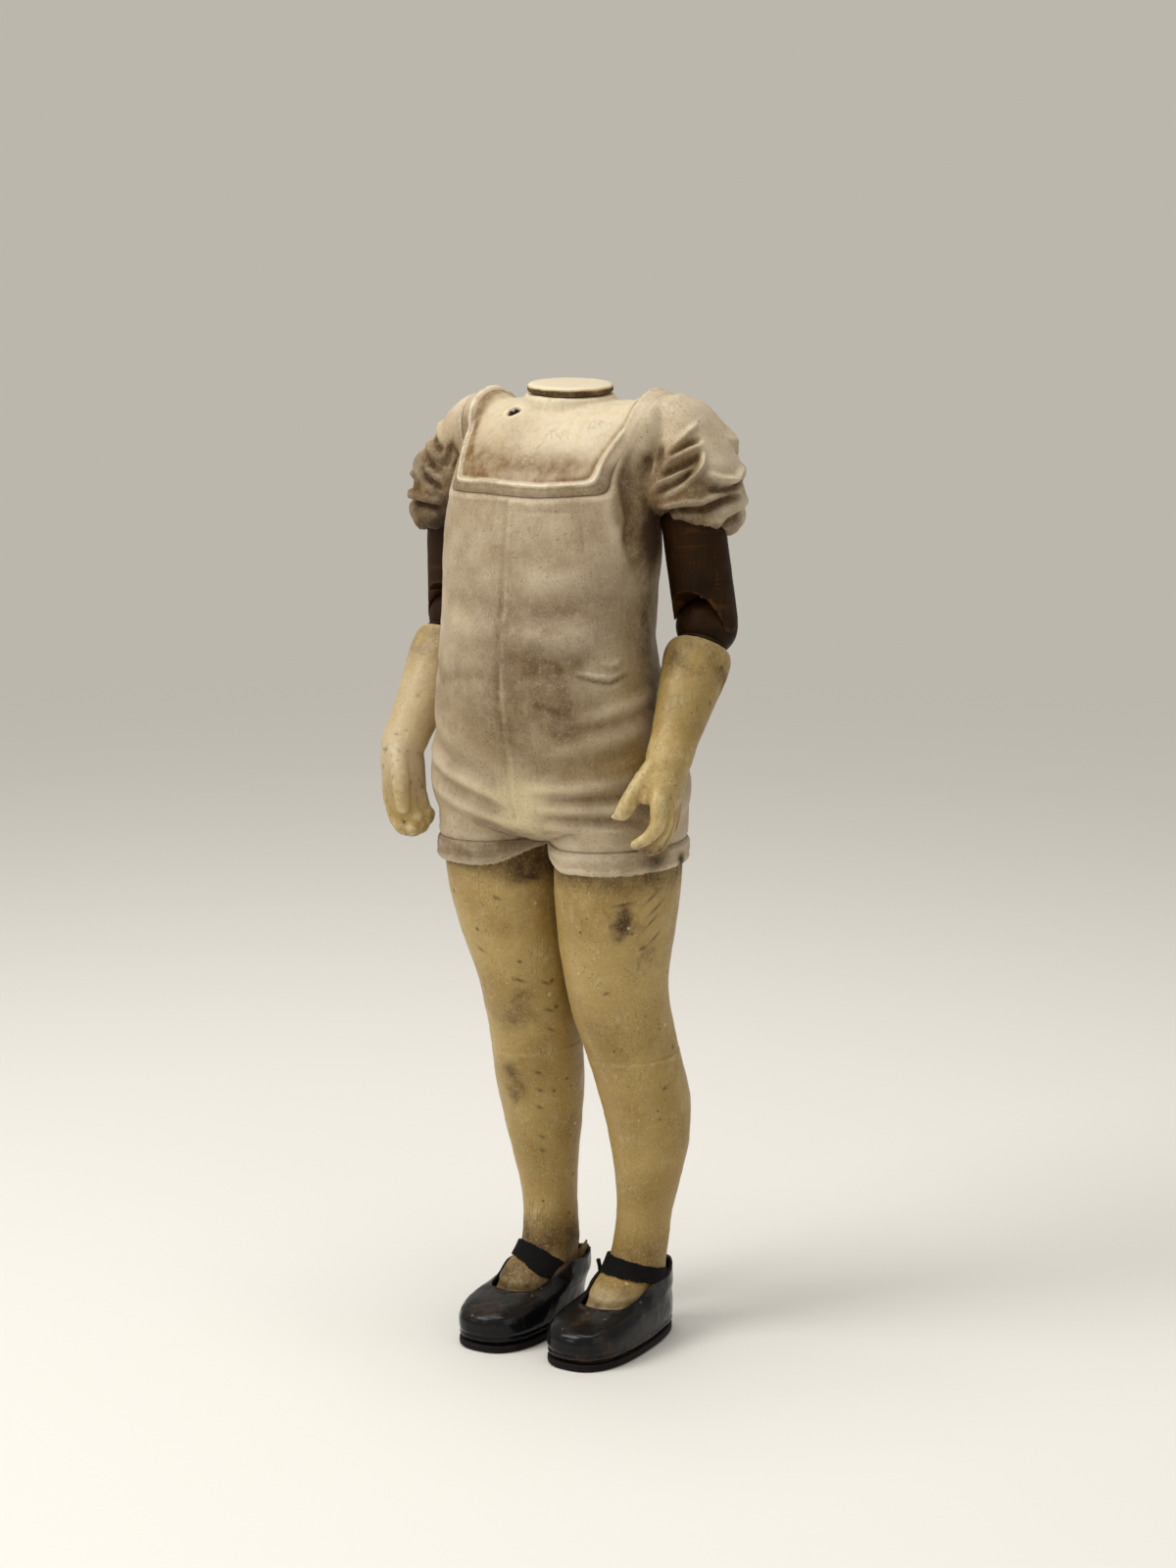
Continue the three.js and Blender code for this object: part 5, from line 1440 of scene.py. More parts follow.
class MANNEQUIN_OT_groups(PieceMaker, bpy.types.Operator):
    """Make the shader groups that the finishes share, and the bare casting"""

    bl_idname = "mannequin.groups"
    bl_label = "Shared finishes"

    def execute(self, context):
        make_specks_group()
        make_grime_group()
        make_casting_group()
        make_wood_group()
        casting_material(self.colours)
        return {"FINISHED"}


class MANNEQUIN_OT_torso(PieceMaker, bpy.types.Operator):
    """Fuse the torso casting and work the romper's neckline, folds, seam and hems into it"""

    bl_idname = "mannequin.torso"
    bl_label = "Torso"

    def execute(self, context):
        made = new_object("torso_casting", torso_shells())
        fuse(made, self.sizes.torso_cell)
        relax(made, 8)
        points, normals = points_of(made), normals_of(made)
        rise, inset, hems, crease, angle, height = torso_relief(points, normals, self.sizes)
        move_to(made, open_sockets(points + rise[:, None] * normals))
        relax(made, 1)
        faded = strap_fade(points, height)
        hemmed = (height < CUFF_TOP) & (np.abs(points[:, 0]) > 1)
        keep(
            made, inset=inset, faded=faded, hem=np.where(hemmed, hems, NO_HEM),
            grime=torso_grime(points, normals, angle, height),
            shade=torso_shade(points, angle, height, inset, crease, hems),
            ridge=torso_highlights(points, normals, height, hems, crease, faded),
            worn=torso_worn(angle, height, crease),
            amber=torso_amber_and_shade(points, angle, height),
        )
        keep_hollows(made, 0.05)
        finish_piece(made, torso_material(self.colours, self.sizes), "figure", "romper", "torso")
        return {"FINISHED"}


class MANNEQUIN_OT_neck_cap(PieceMaker, bpy.types.Operator):
    """Turn the low cap that closes the neck"""

    bl_idname = "mannequin.neck_cap"
    bl_label = "Neck cap"

    def execute(self, context):
        form = turned(NECK_CAP, (0, NECK_Y, 0), (0, 0, 1), 128, 60)
        made, points, normals = new_piece("neck_cap_disc", form)
        swell(made, points, normals, 0.05 * grain(points, 2.0, 21) + 0.03 * grain(points, 0.8, 22))
        side = ease(np.hypot(points[:, 0], points[:, 1] - NECK_Y), 8.0, 8.45)
        line = ease(points[:, 2], 199.3, 198.7) * (0.95 + 0.4 * grain(points, 2.4, 23))
        line += 0.3 * bump(points[:, 2], 199.2, 0.3) * grain(points, 1.6, 24)
        # The cap's wall is stained darker; its top is paler, pale casting with painted light from above
        keep(made, grime=np.clip(side * line, 0, 1), pale=0.7 * ease(points[:, 2], 199.0, 199.5))
        keep_hollows(made, 0.05)
        finish_piece(made, bpy.data.materials["aged_casting"], "cap", "casting", "neck_cap")
        return {"FINISHED"}


def leg_section(height):
    """Centre, half width and half depth of the left leg at each height."""
    rows = lofted(LEG, 400)[::-1]
    return [np.interp(height, rows[:, 0], rows[:, k]) for k in (1, 2, 3, 4)]


def leg_relief(points, angle, side, sizes):
    """Knee, shin, ankle and sock line: bells of height times bells of the angle from the front."""
    height = points[:, 2]
    front, back = bump(angle, 0, 38), bump(np.abs(angle), 180, 50)
    total = 0.55 * bump(height, 71, 5) * front - 0.35 * bump(height, 64.5, 3) * front
    total += 0.3 * bump(height, 58, 4) * front
    total -= 0.5 * bump(height, 66, 6) * back
    total += 0.3 * bump(angle, 0, 16) * between(height, 28, 40, 50, 58)
    total += 0.5 * (bump(np.abs(angle), 95, 24) * bump(height, 21, 3))
    line = sizes.sock_height / MM + (1.2 if side == "left" else 0.0)
    away = height - line - 0.012 * angle * SIDES[side]
    return total + 0.05 * between(away, -4, -1, -0.3, 0.3) - 0.1 * bump(away, 0.0, 0.35)


# Stains of each leg: angle from the front, positive outwards, height, reach and depth
LEG_SPOTS = {
    "left": (
        (37, 95, 2.0, 0.7), (35, 92.6, 1.7, 0.5), (33, 90.4, 1.3, 0.4), (44, 93.6, 3.6, 0.3),
        (20, 62, 5.5, 0.2), (16, 70, 6, 0.08), (70, 84, 6, 0.35), (74, 66, 6, 0.2),
    ),
    "right": (
        (6, 56, 3.0, 0.3), (3, 52.6, 3.2, 0.3), (5, 49, 2.6, 0.28), (-14, 53, 4.5, 0.14),
        (-20, 70, 6, 0.28), (-34, 76, 5, 0.16), (-48, 101, 3.4, 0.5), (-26, 90, 6, 0.2),
    ),
}
# Nicks of each leg: angle, height, reach along, and rise with the distance along
LEG_NICKS = {
    "left": (
        (36, 98, 1.6, 0.2), (58, 88, 0.8, 0.3), (20, 78, 0.6, 0.4), (62, 56, 0.6, 0.3),
        (64, 99, 1.4, 0.9), (70, 96.4, 1.5, 0.9), (66, 93.6, 1.2, 1.0), (72, 90, 1.2, 0.9),
    ),
    "right": (
        (-53, 76.9, 0.9, 0.5), (-53, 70.7, 1.0, 0.4), (-52, 66.1, 0.9, 0.5), (-32, 56, 0.8, 0.3),
        (-32, 51.8, 0.8, 0.3), (-30, 47.7, 0.8, 0.3), (-30, 40.8, 0.8, 0.3), (-28, 37.7, 0.7, 0.3),
        (-52, 100.2, 2.0, 0.25), (-24, 77.8, 1.1, 0.25), (-20, 96, 0.7, 0.5), (10, 84, 0.7, 0.6),
    ),
}
# How pale each instep is
INSTEP_PALE = {"left": 0.08, "right": 0.0}


def leg_grime(points, angle, side):
    """Painted shade and dirt under the hem, dirt at the ankle and on the knee, painted shade inside the
    thigh where the legs meet, and single stains.
    """
    height = points[:, 2]
    ankle, foot = (0.4, 0.25) if side == "left" else (0.65, 0.5)
    # Painted shade and dirt below the hem
    total = 0.55 * ease(height, 96, 104) + ankle * bump(height, 18, 5.5)
    total += foot * ease(height, 15, 12)
    total += 0.17 * bump(height, 70, 6) * bump(angle, 0, 40)
    # Painted shade on the inside of the thigh, where the legs meet
    total += 0.4 * bump(angle, -95, 22) * ease(height, 66, 80)
    mottle = 1.0 + 0.45 * grain(points, 2.6, 34) + 0.3 * grain(points, 1.1, 35)
    for at, level, reach, depth in LEG_SPOTS[side]:
        apart = np.hypot((angle - at) * SPOT_DEGREE, height - level)
        total += depth * mottle * bump(apart, 0, reach)
    return np.clip(total, 0, 1)


def leg_nicks(angle, height, side):
    """Short dark nicks: a bell along each times a bell of the height off its slanting line."""
    total = np.zeros(len(angle))
    for at, level, reach, rise in LEG_NICKS[side]:
        along = (angle - at) * NICK_DEGREE
        total += bump(along, 0, reach) * bump(height - level - rise * along, 0, NICK_WIDTH)
    return np.clip(total, 0, 1)


class MANNEQUIN_OT_legs(PieceMaker, bpy.types.Operator):
    """Draw the two cast legs with knees, sock lines and feet"""

    bl_idname = "mannequin.legs"
    bl_label = "Legs"

    def execute(self, context):
        rows = lofted(LEG, 400)
        grid = level_tube(
            rows[:, 1], rows[:, 2], rows[:, 0], rows[:, 3], rows[:, 4], 216, rows[:, 5:6]
        )
        for side in SIDES:
            forms = [grid]
            if side == "right":
                forms.append(path_tube(HEEL_SPIKE, SPIKE_RADII, (0, 1, 0), 16))
            forms = [mirrored(form, side) for form in forms]
            made, points, normals = new_piece(f"{side}_leg_casting", *forms)
            x, y, _, _ = leg_section(points[:, 2])
            angle = np.degrees(np.arctan2(points[:, 0] * SIDES[side] - x, y - points[:, 1]))
            rise = leg_relief(points, angle, side, self.sizes)
            rise += 0.09 * grain(points, 4.0, 31) + 0.045 * grain(points, 1.4, 32)
            rise += 0.25 * grain(points, 14.0, 33)
            swell(made, points, normals, rise)
            instep = ease(points[:, 2], 13.6, 12.2) * bump(angle, 6, 50)
            keep(
                made, grime=leg_grime(points, angle, side), pale=instep * INSTEP_PALE[side],
                nick=leg_nicks(angle, points[:, 2], side),
            )
            keep_hollows(made, 0.03)
            finish_piece(made, bpy.data.materials["aged_casting"], "figure", "casting", f"{side}_leg")
        return {"FINISHED"}


def shoe_grid(inset, heights):
    """Shoe levels as rounded ovals, broader at the toe than at the heel."""
    rows = np.asarray(SHOE)
    values = through(rows[:, 0], rows[:, 1:], np.clip(heights, rows[0, 0], rows[-1, 0]).ravel())
    front, back, wide = (v.reshape(heights.shape) for v in values.T)
    half = (back - front) / 2 - inset
    u, v = oval(SHOE_COLUMNS, SHOE_SQUARE)
    breadth = (wide - inset) * (1 - TOE_BREADTH * v * half)
    levels = heights + np.zeros_like(breadth)
    return np.stack([FOOT_X + u * breadth, (front + back) / 2 + v * half, levels], -1)


class MANNEQUIN_OT_shoes(PieceMaker, bpy.types.Operator):
    """Form the shoe uppers, soles and ankle straps"""

    bl_idname = "mannequin.shoes"
    bl_label = "Shoes"

    def upper(self, side):
        """Outer wall up to the top line, round the rim and down the inner wall. The top line is
        low round the instep and rises to the heel counter with the angle from the toe; the right
        one is torn behind."""
        angle = turn(SHOE_COLUMNS)
        heelward = (1 + np.sin(angle)) / 2
        inner = np.maximum(0, -np.cos(angle))
        edge = TOP_LINE + FLANK_RISE * ease(heelward, 0.08, 0.4)
        edge += HEEL_RISE[side] * ease(heelward, 0.55, 0.97)
        edge += inner * bump(heelward, 0.35, 0.2)
        if side == "right":
            torn = np.sin(angle * 19) + np.sin(angle * 43)
            edge += 0.22 * torn * ease(heelward, 0.55, 0.8)
        low = SHOE[0][0] + 0.05
        outer = shoe_grid(0.0, low + (edge - low) * np.linspace(0, 1, 70)[:, None])
        lining = shoe_grid(SHOE_WALL, edge - (edge - INSOLE_HEIGHT) * np.linspace(0.03, 1, 40)[:, None])
        top_out, top_in = outer[-1], lining[0]
        bend = np.linspace(0.15, 0.85, 7)[:, None, None] * np.pi
        rim = (top_out + top_in) / 2 + (top_out - top_in) / 2 * np.cos(bend)
        rim[..., 2] += 0.4 * np.sin(bend[..., 0])
        return np.concatenate([outer, rim, lining])

    def flare(self, points):
        """How far the torn right counter stands out behind, growing with height."""
        inward, behind = FLARE_WAY
        towards = inward * (points[:, 0] + FOOT_X) / 7 + behind * (points[:, 1] - 4) / 18
        return 1.3 * ease(towards, 0.75, 1.0) * ease(points[:, 2], 5, 11)

    def sole(self, thickness):
        """Plate with a rounded edge and a thin groove along its middle."""
        level, inset = np.array(SOLE_EDGE).T
        outline = np.full((1, 1), SOLE_OUTLINE)
        grid = np.stack([shoe_grid(step - SOLE_WELT, outline)[0] for step in inset])
        grid[..., 2] = (level * thickness / level[-1])[:, None]
        return grid

    def strap(self, side):
        """Flat band: a rounded rectangle carried round the front of the ankle just off the leg's
        section at its height, from one flank to the other; it rises over the instep with minus
        the sine of the angle, tilts to one flank with minus the cosine and widens inwards."""
        sizes = self.sizes
        low, high = sizes.strap_bottom / MM, sizes.strap_top / MM
        thick = sizes.strap_thickness / MM
        angle = np.linspace(*np.radians(STRAP_SWEEP), 124)
        u, v = oval(24, 5.7)
        inner, front = -np.cos(angle)[:, None], -np.sin(angle)[:, None]
        drop, arch, tilt = STRAP_LIE[side]
        middle = (low + high) / 2 - drop + arch * front + tilt * inner
        half = (high - low) / 2 * (1.1 + 0.15 * inner)
        off = thick / 2 * (1 + u)
        ragged = 0.06 * np.sin(angle * 11)[:, None] + 0.05 * np.sin(angle * 37)[:, None]
        z = middle + half * v + ragged * np.abs(v) ** 8
        x, y, wide, deep = leg_section(z)
        x = x - (wide + STRAP_GAP + off) * inner
        y = y - (deep + STRAP_GAP + off) * front
        return np.stack([x, y, z], -1)

    def execute(self, context):
        colours = self.colours
        paint = shoe_material(colours)
        edge = plain_material("sole_edge", colours.sole, tint(32, 26, 21), 500.0, 0.6, 0.00008)
        black = plain_material("strap_black", colours.strap, tint(16, 15, 13), 700.0, 0.8, 0.0001)
        for side in SIDES:
            wall = mirrored(self.upper(side), side)
            made, points, normals = new_piece(f"{side}_shoe_wall", wall)
            dents = 0.10 * grain(points, 3.0, 41) + 0.05 * grain(points, 1.2, 42)
            welt = 0.22 * bump(points[:, 2], 2.7, 0.35) - 0.18 * bump(points[:, 2], 3.5, 0.35)
            points = points + (dents + welt)[:, None] * normals
            if side == "right":
                points = points + self.flare(points)[:, None] * (*FLARE_WAY, 0)
            move_to(made, points)
            keep_hollows(made, 0.03)
            finish_piece(made, paint, "figure", "shoe", f"{side}_shoe_upper")
            plate = mirrored(self.sole(self.sizes.sole_thickness / MM), side)
            made, _, _ = new_piece(f"{side}_shoe_sole_plate", plate)
            finish_piece(made, edge, "figure", "sole", f"{side}_shoe_sole")
            bands = [mirrored(self.strap(side), side)]
            if side == "left":
                bands.append(path_tube(STRAP_SLIVER, SLIVER_RADII, (0, 1, 0), 12, 4))
            made, _, _ = new_piece(f"{side}_ankle_strap", *bands)
            finish_piece(made, black, "figure", "shoe", f"{side}_shoe_strap")
        return {"FINISHED"}


def arm_frame(side):
    """Elbow, arm axis, hinge axis and front of one arm."""
    up = arm_axis(side)
    down = forearm_axis(side)
    hinge = unit(np.cross(down, up))
    front = np.cross(hinge, up)
    front = front if front[1] < 0 else -front
    return ELBOW[side], up, np.cross(up, front), front


def forearm_axis(side):
    """Direction of the forearm, from the elbow down."""
    fall = math.sqrt(1 - FOREARM_FORWARD**2 - FOREARM_OUTWARD**2)
    return np.array((FOREARM_OUTWARD * SIDES[side], -FOREARM_FORWARD, -fall))


class MANNEQUIN_OT_upper_arms(PieceMaker, bpy.types.Operator):
    """Turn the wooden upper arms with their cups and front arches"""

    bl_idname = "mannequin.upper_arms"
    bl_label = "Upper arms"

    def form(self, side):
        """Cylinder whose lower rim follows an arch in front, then the cup: in front the rim lies at
        lip + (crown - lip) sqrt(1 - s^2), with s the share of the arch's half width, and elsewhere
        at the lip; the cup is a ball about the elbow, with a flat roof over the arch."""
        elbow, up, across, front = arm_frame(side)
        columns, walls, hollows = 240, 60, 30
        angle = turn(columns)
        outward = np.degrees(np.arctan2(np.sin(angle) * SIDES[side], np.cos(angle)))
        lip = CUP_LIP - 2.8 * bump(outward, 84, 34) + 0.2 * bump(outward, -90, 40)
        s = ARM_RADIUS * np.sin(angle) / (ARCH_RADIUS + ARCH_SLACK)
        crown = lip + (ARCH_HEIGHT + ARCH_RADIUS - lip) * np.sqrt(np.maximum(0, 1 - s**2))
        rim = np.where(np.cos(angle) > 0, crown, lip)
        share = np.linspace(0, 1, walls)[:, None]
        outer_height = (ARM_LENGTH - ARM_RIM) + (rim - ARM_LENGTH + ARM_RIM) * share
        top_height = np.array((ARM_LENGTH, ARM_LENGTH, ARM_LENGTH - ARM_BEVEL))[:, None]
        top_radius = np.array((2.0, ARM_RADIUS - ARM_RIM, ARM_RADIUS - ARM_BEVEL))[:, None]
        share = np.linspace(0, 1, hollows)[:, None]
        roof = CUP_RADIUS - CUP_FLOOR
        cup_height = rim + CUP_START + (roof - rim - CUP_START) * share**0.7
        arched = rim > CUP_RADIUS - CUP_WALL
        cup_height = np.where(arched, rim + (roof - rim) * share, cup_height)
        below = CUP_RADIUS**2 - np.minimum(cup_height, CUP_RADIUS) ** 2
        cup_radius = np.minimum(np.sqrt(np.maximum(CUP_FLOOR, below)), ARM_RADIUS - CUP_WALL)
        blind = np.linspace(*ARCH_ROOF, hollows)[:, None]
        cup_radius = np.where(arched, blind, cup_radius)
        heights = (top_height, outer_height, cup_height)
        radii = (top_radius, np.full((walls, 1), ARM_RADIUS), cup_radius)
        heights, radii = (
            np.concatenate([np.broadcast_to(rows, (len(rows), columns)) for rows in parts])
            for parts in (heights, radii)
        )
        ring = np.cos(angle)[:, None] * front + np.sin(angle)[:, None] * across
        return elbow + heights[..., None] * up + radii[..., None] * ring

    def execute(self, context):
        wood = wood_material(self.colours, "stained_wood")
        for side in SIDES:
            made, points, normals = new_piece(f"{side}_upper_arm_wood", self.form(side))
            elbow, up = ELBOW[side], arm_axis(side)
            along = (points - elbow) @ up
            rise = 0.035 * np.sin(along * 7.0 + 2 * grain(points, 5, 51)) + 0.06 * grain(points, 2.5, 52)
            off = np.linalg.norm(points - elbow - along[:, None] * up, axis=1)
            swell(made, points, normals, rise * ease(off, 5.6, 6.2))
            keep_hollows(made, 0.04)
            finish_piece(made, wood, f"{side}_arm", "wood", f"{side}_upper_arm")
        return {"FINISHED"}


class MANNEQUIN_OT_elbows(PieceMaker, bpy.types.Operator):
    """Turn the elbow balls and the washers below them"""

    bl_idname = "mannequin.elbows"
    bl_label = "Elbows"

    def washer_outline(self):
        """Closed outline between two arcs about the elbow: (radius sin(a), radius cos(a))."""
        steps = 14
        sweep = np.linspace(*np.radians(WASHER_ANGLES), steps)
        angle = np.concatenate([sweep, sweep[::-1], sweep[:1]])
        inside, outside = WASHER_RADII
        radius = np.repeat((inside, outside, inside), (steps, steps, 1))
        return np.column_stack([radius * np.sin(angle), radius * np.cos(angle)])

    def execute(self, context):
        wood = wood_material(self.colours, "ball_wood")
        leather = plain_material(
            "washer_leather", tint(34, 23, 14), tint(66, 46, 28), 900.0, 0.7, 0.0001
        )
        for side in SIDES:
            elbow, _, across, _ = arm_frame(side)
            polar = np.linspace(0.02, np.pi - 0.02, 72)
            profile = np.column_stack([BALL_RADIUS * np.sin(polar), -BALL_RADIUS * np.cos(polar)])
            ball = turned(profile, elbow, across, 96)
            made, points, normals = new_piece(f"{side}_elbow_ball_wood", ball)
            rings = 0.03 * np.sin(((points - elbow) @ across) * 9) + 0.05 * grain(points, 1.8, 61)
            swell(made, points, normals, rings - 0.05)
            keep_hollows(made, 0.04)
            finish_piece(made, wood, f"{side}_elbow", "wood", f"{side}_elbow_ball")
            washer = ring_skin(turned(self.washer_outline(), elbow, forearm_axis(side), 96))
            made = new_object(f"{side}_elbow_washer_ring", [washer])
            finish_piece(made, leather, f"{side}_hand", "washer", f"{side}_elbow_washer")
        return {"FINISHED"}


class MANNEQUIN_OT_forearms(PieceMaker, bpy.types.Operator):
    """Fuse forearm, palm, fingers and thumb of each side"""

    bl_idname = "mannequin.forearms"
    bl_label = "Forearms"

    def shells(self, side):
        """Closed skins of a side's forearm and hand, drawn as a left arm."""
        elbow, down = ELBOW["left"], forearm_axis("left")
        shells = [closed_skin(turned(FOREARM, elbow, down, 90, 120))]
        wrist = elbow + WRIST * down
        fall = unit(HAND_FALL[side])
        angle = math.radians(HAND_TURN)
        across = np.array((math.cos(angle), math.sin(angle), 0))
        back = unit(np.cross(across, fall))
        back = back if back[0] > 0 else -back
        rows = lofted(PALM[side], 40)
        reach = rows[:, :1]
        palm = tube(
            wrist + np.where(reach < 0, reach * down, reach * (fall + PALM_DRIFT[side] * back)),
            rows[:, 1:2] * across, rows[:, 2:3] * back, 60, 2.3,
        )
        shells.append(closed_skin(palm))
        for thick, thin, places in DIGITS[side]:
            places = np.asarray(places, float)
            path = wrist + places[:, :1] * across + places[:, 1:2] * fall + places[:, 2:] * back
            radii = np.linspace(thick, thin, len(places))
            shells.append(closed_skin(self.digit(path, radii, across)))
        return shells

    def digit(self, path, radii, across):
        """Tube along a finger's bones with a round tip."""
        points, sizes = rounded_path(path, radii, 24)
        return path_tube(points, sizes, across, 24)

    def stains(self, points, along, side):
        """Smudges of dirt below the elbow, dirt and painted shade at the finger tips, pale wrist and
        hand, and
            dark dots on the hand with a deeper tone above the wrist, each by bells and steps of the
            distance down the arm."""
        height = points[:, 2]
        tip = height.min()
        grime = (0.38 + 0.3 * grain(points, 3, 73)) * bump(along, 10.5, 5)
        deep = ease(along, 28, 22) * (0.24 + 0.12 * grain(points, 5, 74))
        dots = 1.6 * np.clip(grain(points, 0.8, 75) - 0.5, 0, 0.5) * ease(along, 24, 32)
        hand = bump(along, 34, 6)
        if side == "left":
            tips, pale, nick = 0.6, 0.06 * hand, deep + 0.6 * dots
        else:
            tips, pale, nick = 0.3, 0.35 * hand + 0.3 * bump(along, 20, 11), 0.2 * deep + dots
        # Dirt and painted shade at the finger tips
        grime += tips * ease(height, tip + 6, tip + 1)
        return {"grime": np.clip(grime, 0, 1), "pale": pale, "nick": nick}

    def execute(self, context):
        for side in SIDES:
            drop = np.array((0, 0, ELBOW[side][2] - ELBOW["left"][2]))
            shells = []
            for points, faces in self.shells(side):
                turned_faces = faces if side == "left" else [face[::-1] for face in faces]
                shells.append((mirrored(points, side) + drop, turned_faces))
            made = new_object(f"{side}_forearm_casting", shells)
            fuse(made, self.sizes.hand_cell)
            relax(made, 16, 0.5, 0.0)
            relax(made, 6)
            points, normals = points_of(made), normals_of(made)
            along = (points - ELBOW[side]) @ forearm_axis(side)
            swell(made, points, normals, 0.09 * grain(points, 2.6, 71) + 0.05 * grain(points, 1.0, 72))
            keep(made, **self.stains(points, along, side))
            keep_hollows(made, 0.025)
            finish_piece(
                made, bpy.data.materials["aged_casting"], f"{side}_hand", "casting", f"{side}_forearm"
            )
        return {"FINISHED"}


class MANNEQUIN_OT_inner_parts(PieceMaker, bpy.types.Operator):
    """Finish the dowels, pegs and pins inside the figure"""

    bl_idname = "mannequin.inner_parts"
    bl_label = "Inner parts"

    def execute(self, context):
        colours = self.colours
        dowel = plain_material("dowel_wood", colours.dowel, tint(150, 112, 66), 400.0, 0.65, 0.0001)
        steel = plain_material("pin_steel", colours.steel, tint(110, 108, 104), 600.0, 0.35, 0.00004, 1.0)
        for name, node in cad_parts.items():
            for kind, endings in ((dowel, ("_peg", "_dowel")), (steel, ("_link", "_pin"))):
                if name.endswith(endings):
                    node.data.materials.clear()
                    node.data.materials.append(kind)
        return {"FINISHED"}


# Stage in metres: radii of the floor's rings, where it fades, what the lamps look at
FLOOR_RADII = (0.02, 12.0)
FLOOR_COLUMNS = 72
FLOOR_FADE = (0.16, 0.75)
LAMP_AIM = np.array((0, 0, 0.12))
# Lamps: place and size in metres, power in watts
LAMPS = {
    "overhead": ((-0.05, -0.1, 1.1), 0.7, 7.0),
    "key": ((-0.4, -0.6, 0.75), 0.45, 5.0),
    "fill": ((0.95, -0.35, 0.5), 0.6, 1.0),
}
# Camera: place in metres, azimuth and pitch in degrees, lens and sensor in millimetres, sideways shift
CAMERA_AT = (0.4736, -0.7537, 0.3159)
CAMERA_AZIMUTH = 32
CAMERA_PITCH = 12.5
CAMERA_LENS = 103.5
CAMERA_SENSOR = 36.0
CAMERA_SHIFT = 0.01125


def put_on_stage(name, data, place, heading):
    """Object at a place that looks along a direction with its top up."""
    made = bpy.data.objects.new(name, data)
    made.location = place
    x, y, z = unit(heading)
    made.rotation_euler = (math.acos(-z), 0.0, math.atan2(-x, y))
    bpy.context.scene.collection.objects.link(made)
    return made


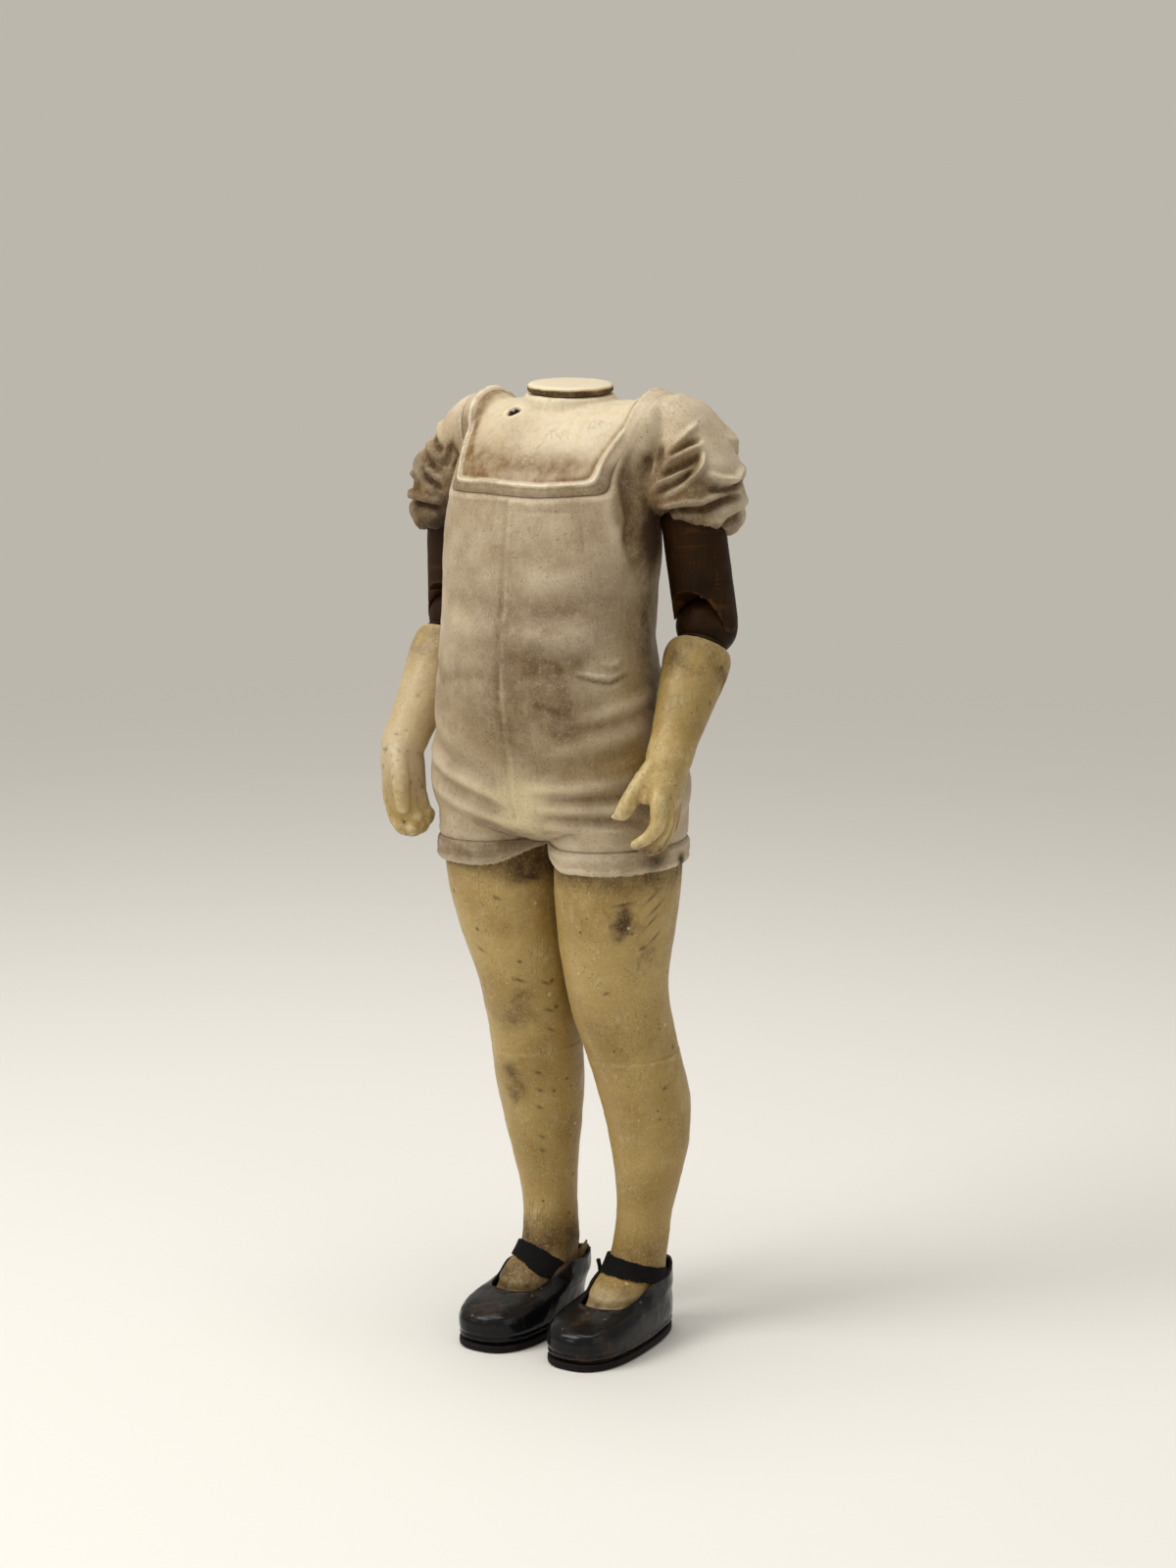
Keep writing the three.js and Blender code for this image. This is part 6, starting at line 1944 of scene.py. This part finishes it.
class MANNEQUIN_OT_stage(PieceMaker, bpy.types.Operator):
    """Lay the floor and set the lamps and the camera"""

    bl_idname = "mannequin.stage"
    bl_label = "Stage"

    def execute(self, context):
        self.lay_floor()
        self.light_world()
        self.set_lamps()
        self.set_camera()
        bpy.context.scene.view_settings.view_transform = "Standard"
        return {"FINISHED"}

    def lay_floor(self):
        """Round floor whose colour fades into an even glow with the distance from the figure."""
        colours = self.colours
        radius = np.linspace(*FLOOR_RADII, 40)
        angle = turn(FLOOR_COLUMNS)
        ring = np.stack([np.cos(angle), np.sin(angle), np.zeros(FLOOR_COLUMNS)], -1)
        grid = radius[:, None, None] * ring
        mesh = bpy.data.meshes.new("floor")
        a = np.arange(len(radius) * FLOOR_COLUMNS).reshape(-1, FLOOR_COLUMNS)
        b = np.roll(a, -1, axis=1)
        quads = np.stack([a[:-1], a[1:], b[1:], b[:-1]], -1).reshape(-1, 4)
        mesh.from_pydata(grid.reshape(-1, 3), [], quads.tolist() + [a[0].tolist()])
        floor = bpy.data.objects.new("floor", mesh)
        bpy.context.scene.collection.objects.link(floor)
        material, on, shader, place = new_material("pale_floor")
        away = on.put("ShaderNodeVectorMath", {0: place}, operation="LENGTH").outputs["Value"]
        far = on.span(away, *FLOOR_FADE)
        shader.inputs["Base Color"].default_value = rgba(colours.floor)
        shader.inputs["Roughness"].default_value = 0.7
        glow = on.put("ShaderNodeEmission", {"Color": rgba(colours.distance)}).outputs[0]
        mix = on.put("ShaderNodeMixShader", {0: far, 1: shader.outputs[0], 2: glow})
        on.tree.links.new(mix.outputs[0], on.tree.nodes["Material Output"].inputs["Surface"])
        mesh.materials.append(material)

    def light_world(self):
        """Dim even light, seen by the camera and by mirror rays as the colour of the far floor."""
        world = bpy.data.worlds.new("studio")
        world.use_nodes = True
        sky = Finish(world.node_tree)
        light = sky.tree.nodes["Background"]
        light.inputs["Color"].default_value = (0.97, 0.97, 0.97, 1)
        light.inputs["Strength"].default_value = 0.3
        seen = sky.put("ShaderNodeBackground", {"Color": rgba(self.colours.distance)}).outputs[0]
        ray = sky.put("ShaderNodeLightPath").outputs
        mirrored_ray = sky.most(ray["Is Glossy Ray"], ray["Is Transmission Ray"])
        direct = sky.most(ray["Is Camera Ray"], mirrored_ray)
        both = sky.put("ShaderNodeMixShader", {0: direct, 1: light.outputs[0], 2: seen})
        sky.tree.links.new(both.outputs[0], sky.tree.nodes["World Output"].inputs["Surface"])
        bpy.context.scene.world = world

    def set_lamps(self):
        """Soft square lamps that look at the figure."""
        for name, (place, size, power) in LAMPS.items():
            data = bpy.data.lights.new(name, "AREA")
            data.size = size
            data.energy = power
            put_on_stage(name, data, place, LAMP_AIM - place)

    def set_camera(self):
        """Camera in front, on the figure's left, looking a little down."""
        data = bpy.data.cameras.new("camera")
        data.lens = CAMERA_LENS
        data.sensor_width = CAMERA_SENSOR
        data.shift_x = CAMERA_SHIFT
        azimuth, pitch = math.radians(CAMERA_AZIMUTH), math.radians(CAMERA_PITCH)
        level = math.cos(pitch)
        heading = (-math.sin(azimuth) * level, math.cos(azimuth) * level, -math.sin(pitch))
        bpy.context.scene.camera = put_on_stage("camera", data, CAMERA_AT, heading)


class MANNEQUIN_PT_panel(bpy.types.Panel):
    """Sizes, colours and makers of the mannequin"""

    bl_idname = "MANNEQUIN_PT_panel"
    bl_label = "Mannequin"
    bl_space_type = "VIEW_3D"
    bl_region_type = "UI"
    bl_category = "Mannequin"

    def draw(self, context):
        layout = self.layout
        for maker in MAKERS:
            layout.operator(maker.bl_idname)
        for group in (context.scene.mannequin_sizes, context.scene.mannequin_colours):
            for name in group.__annotations__:
                layout.prop(group, name)


MAKERS = (
    MANNEQUIN_OT_groups,
    MANNEQUIN_OT_torso,
    MANNEQUIN_OT_neck_cap,
    MANNEQUIN_OT_legs,
    MANNEQUIN_OT_shoes,
    MANNEQUIN_OT_upper_arms,
    MANNEQUIN_OT_elbows,
    MANNEQUIN_OT_forearms,
    MANNEQUIN_OT_inner_parts,
    MANNEQUIN_OT_stage,
)
CLASSES = (MannequinSizes, MannequinColours, *MAKERS, MANNEQUIN_PT_panel)


def register():
    """Add the classes and the scene's settings."""
    for item in CLASSES:
        bpy.utils.register_class(item)
    bpy.types.Scene.mannequin_sizes = bpy.props.PointerProperty(type=MannequinSizes)
    bpy.types.Scene.mannequin_colours = bpy.props.PointerProperty(type=MannequinColours)


def unregister():
    """Take the settings and classes away again."""
    del bpy.types.Scene.mannequin_colours
    del bpy.types.Scene.mannequin_sizes
    for item in reversed(CLASSES):
        bpy.utils.unregister_class(item)


def main():
    """Build every piece in order."""
    register()
    for maker in MAKERS:
        group, name = maker.bl_idname.split(".")
        getattr(getattr(bpy.ops, group), name)()


if __name__ == "__main__":
    main()
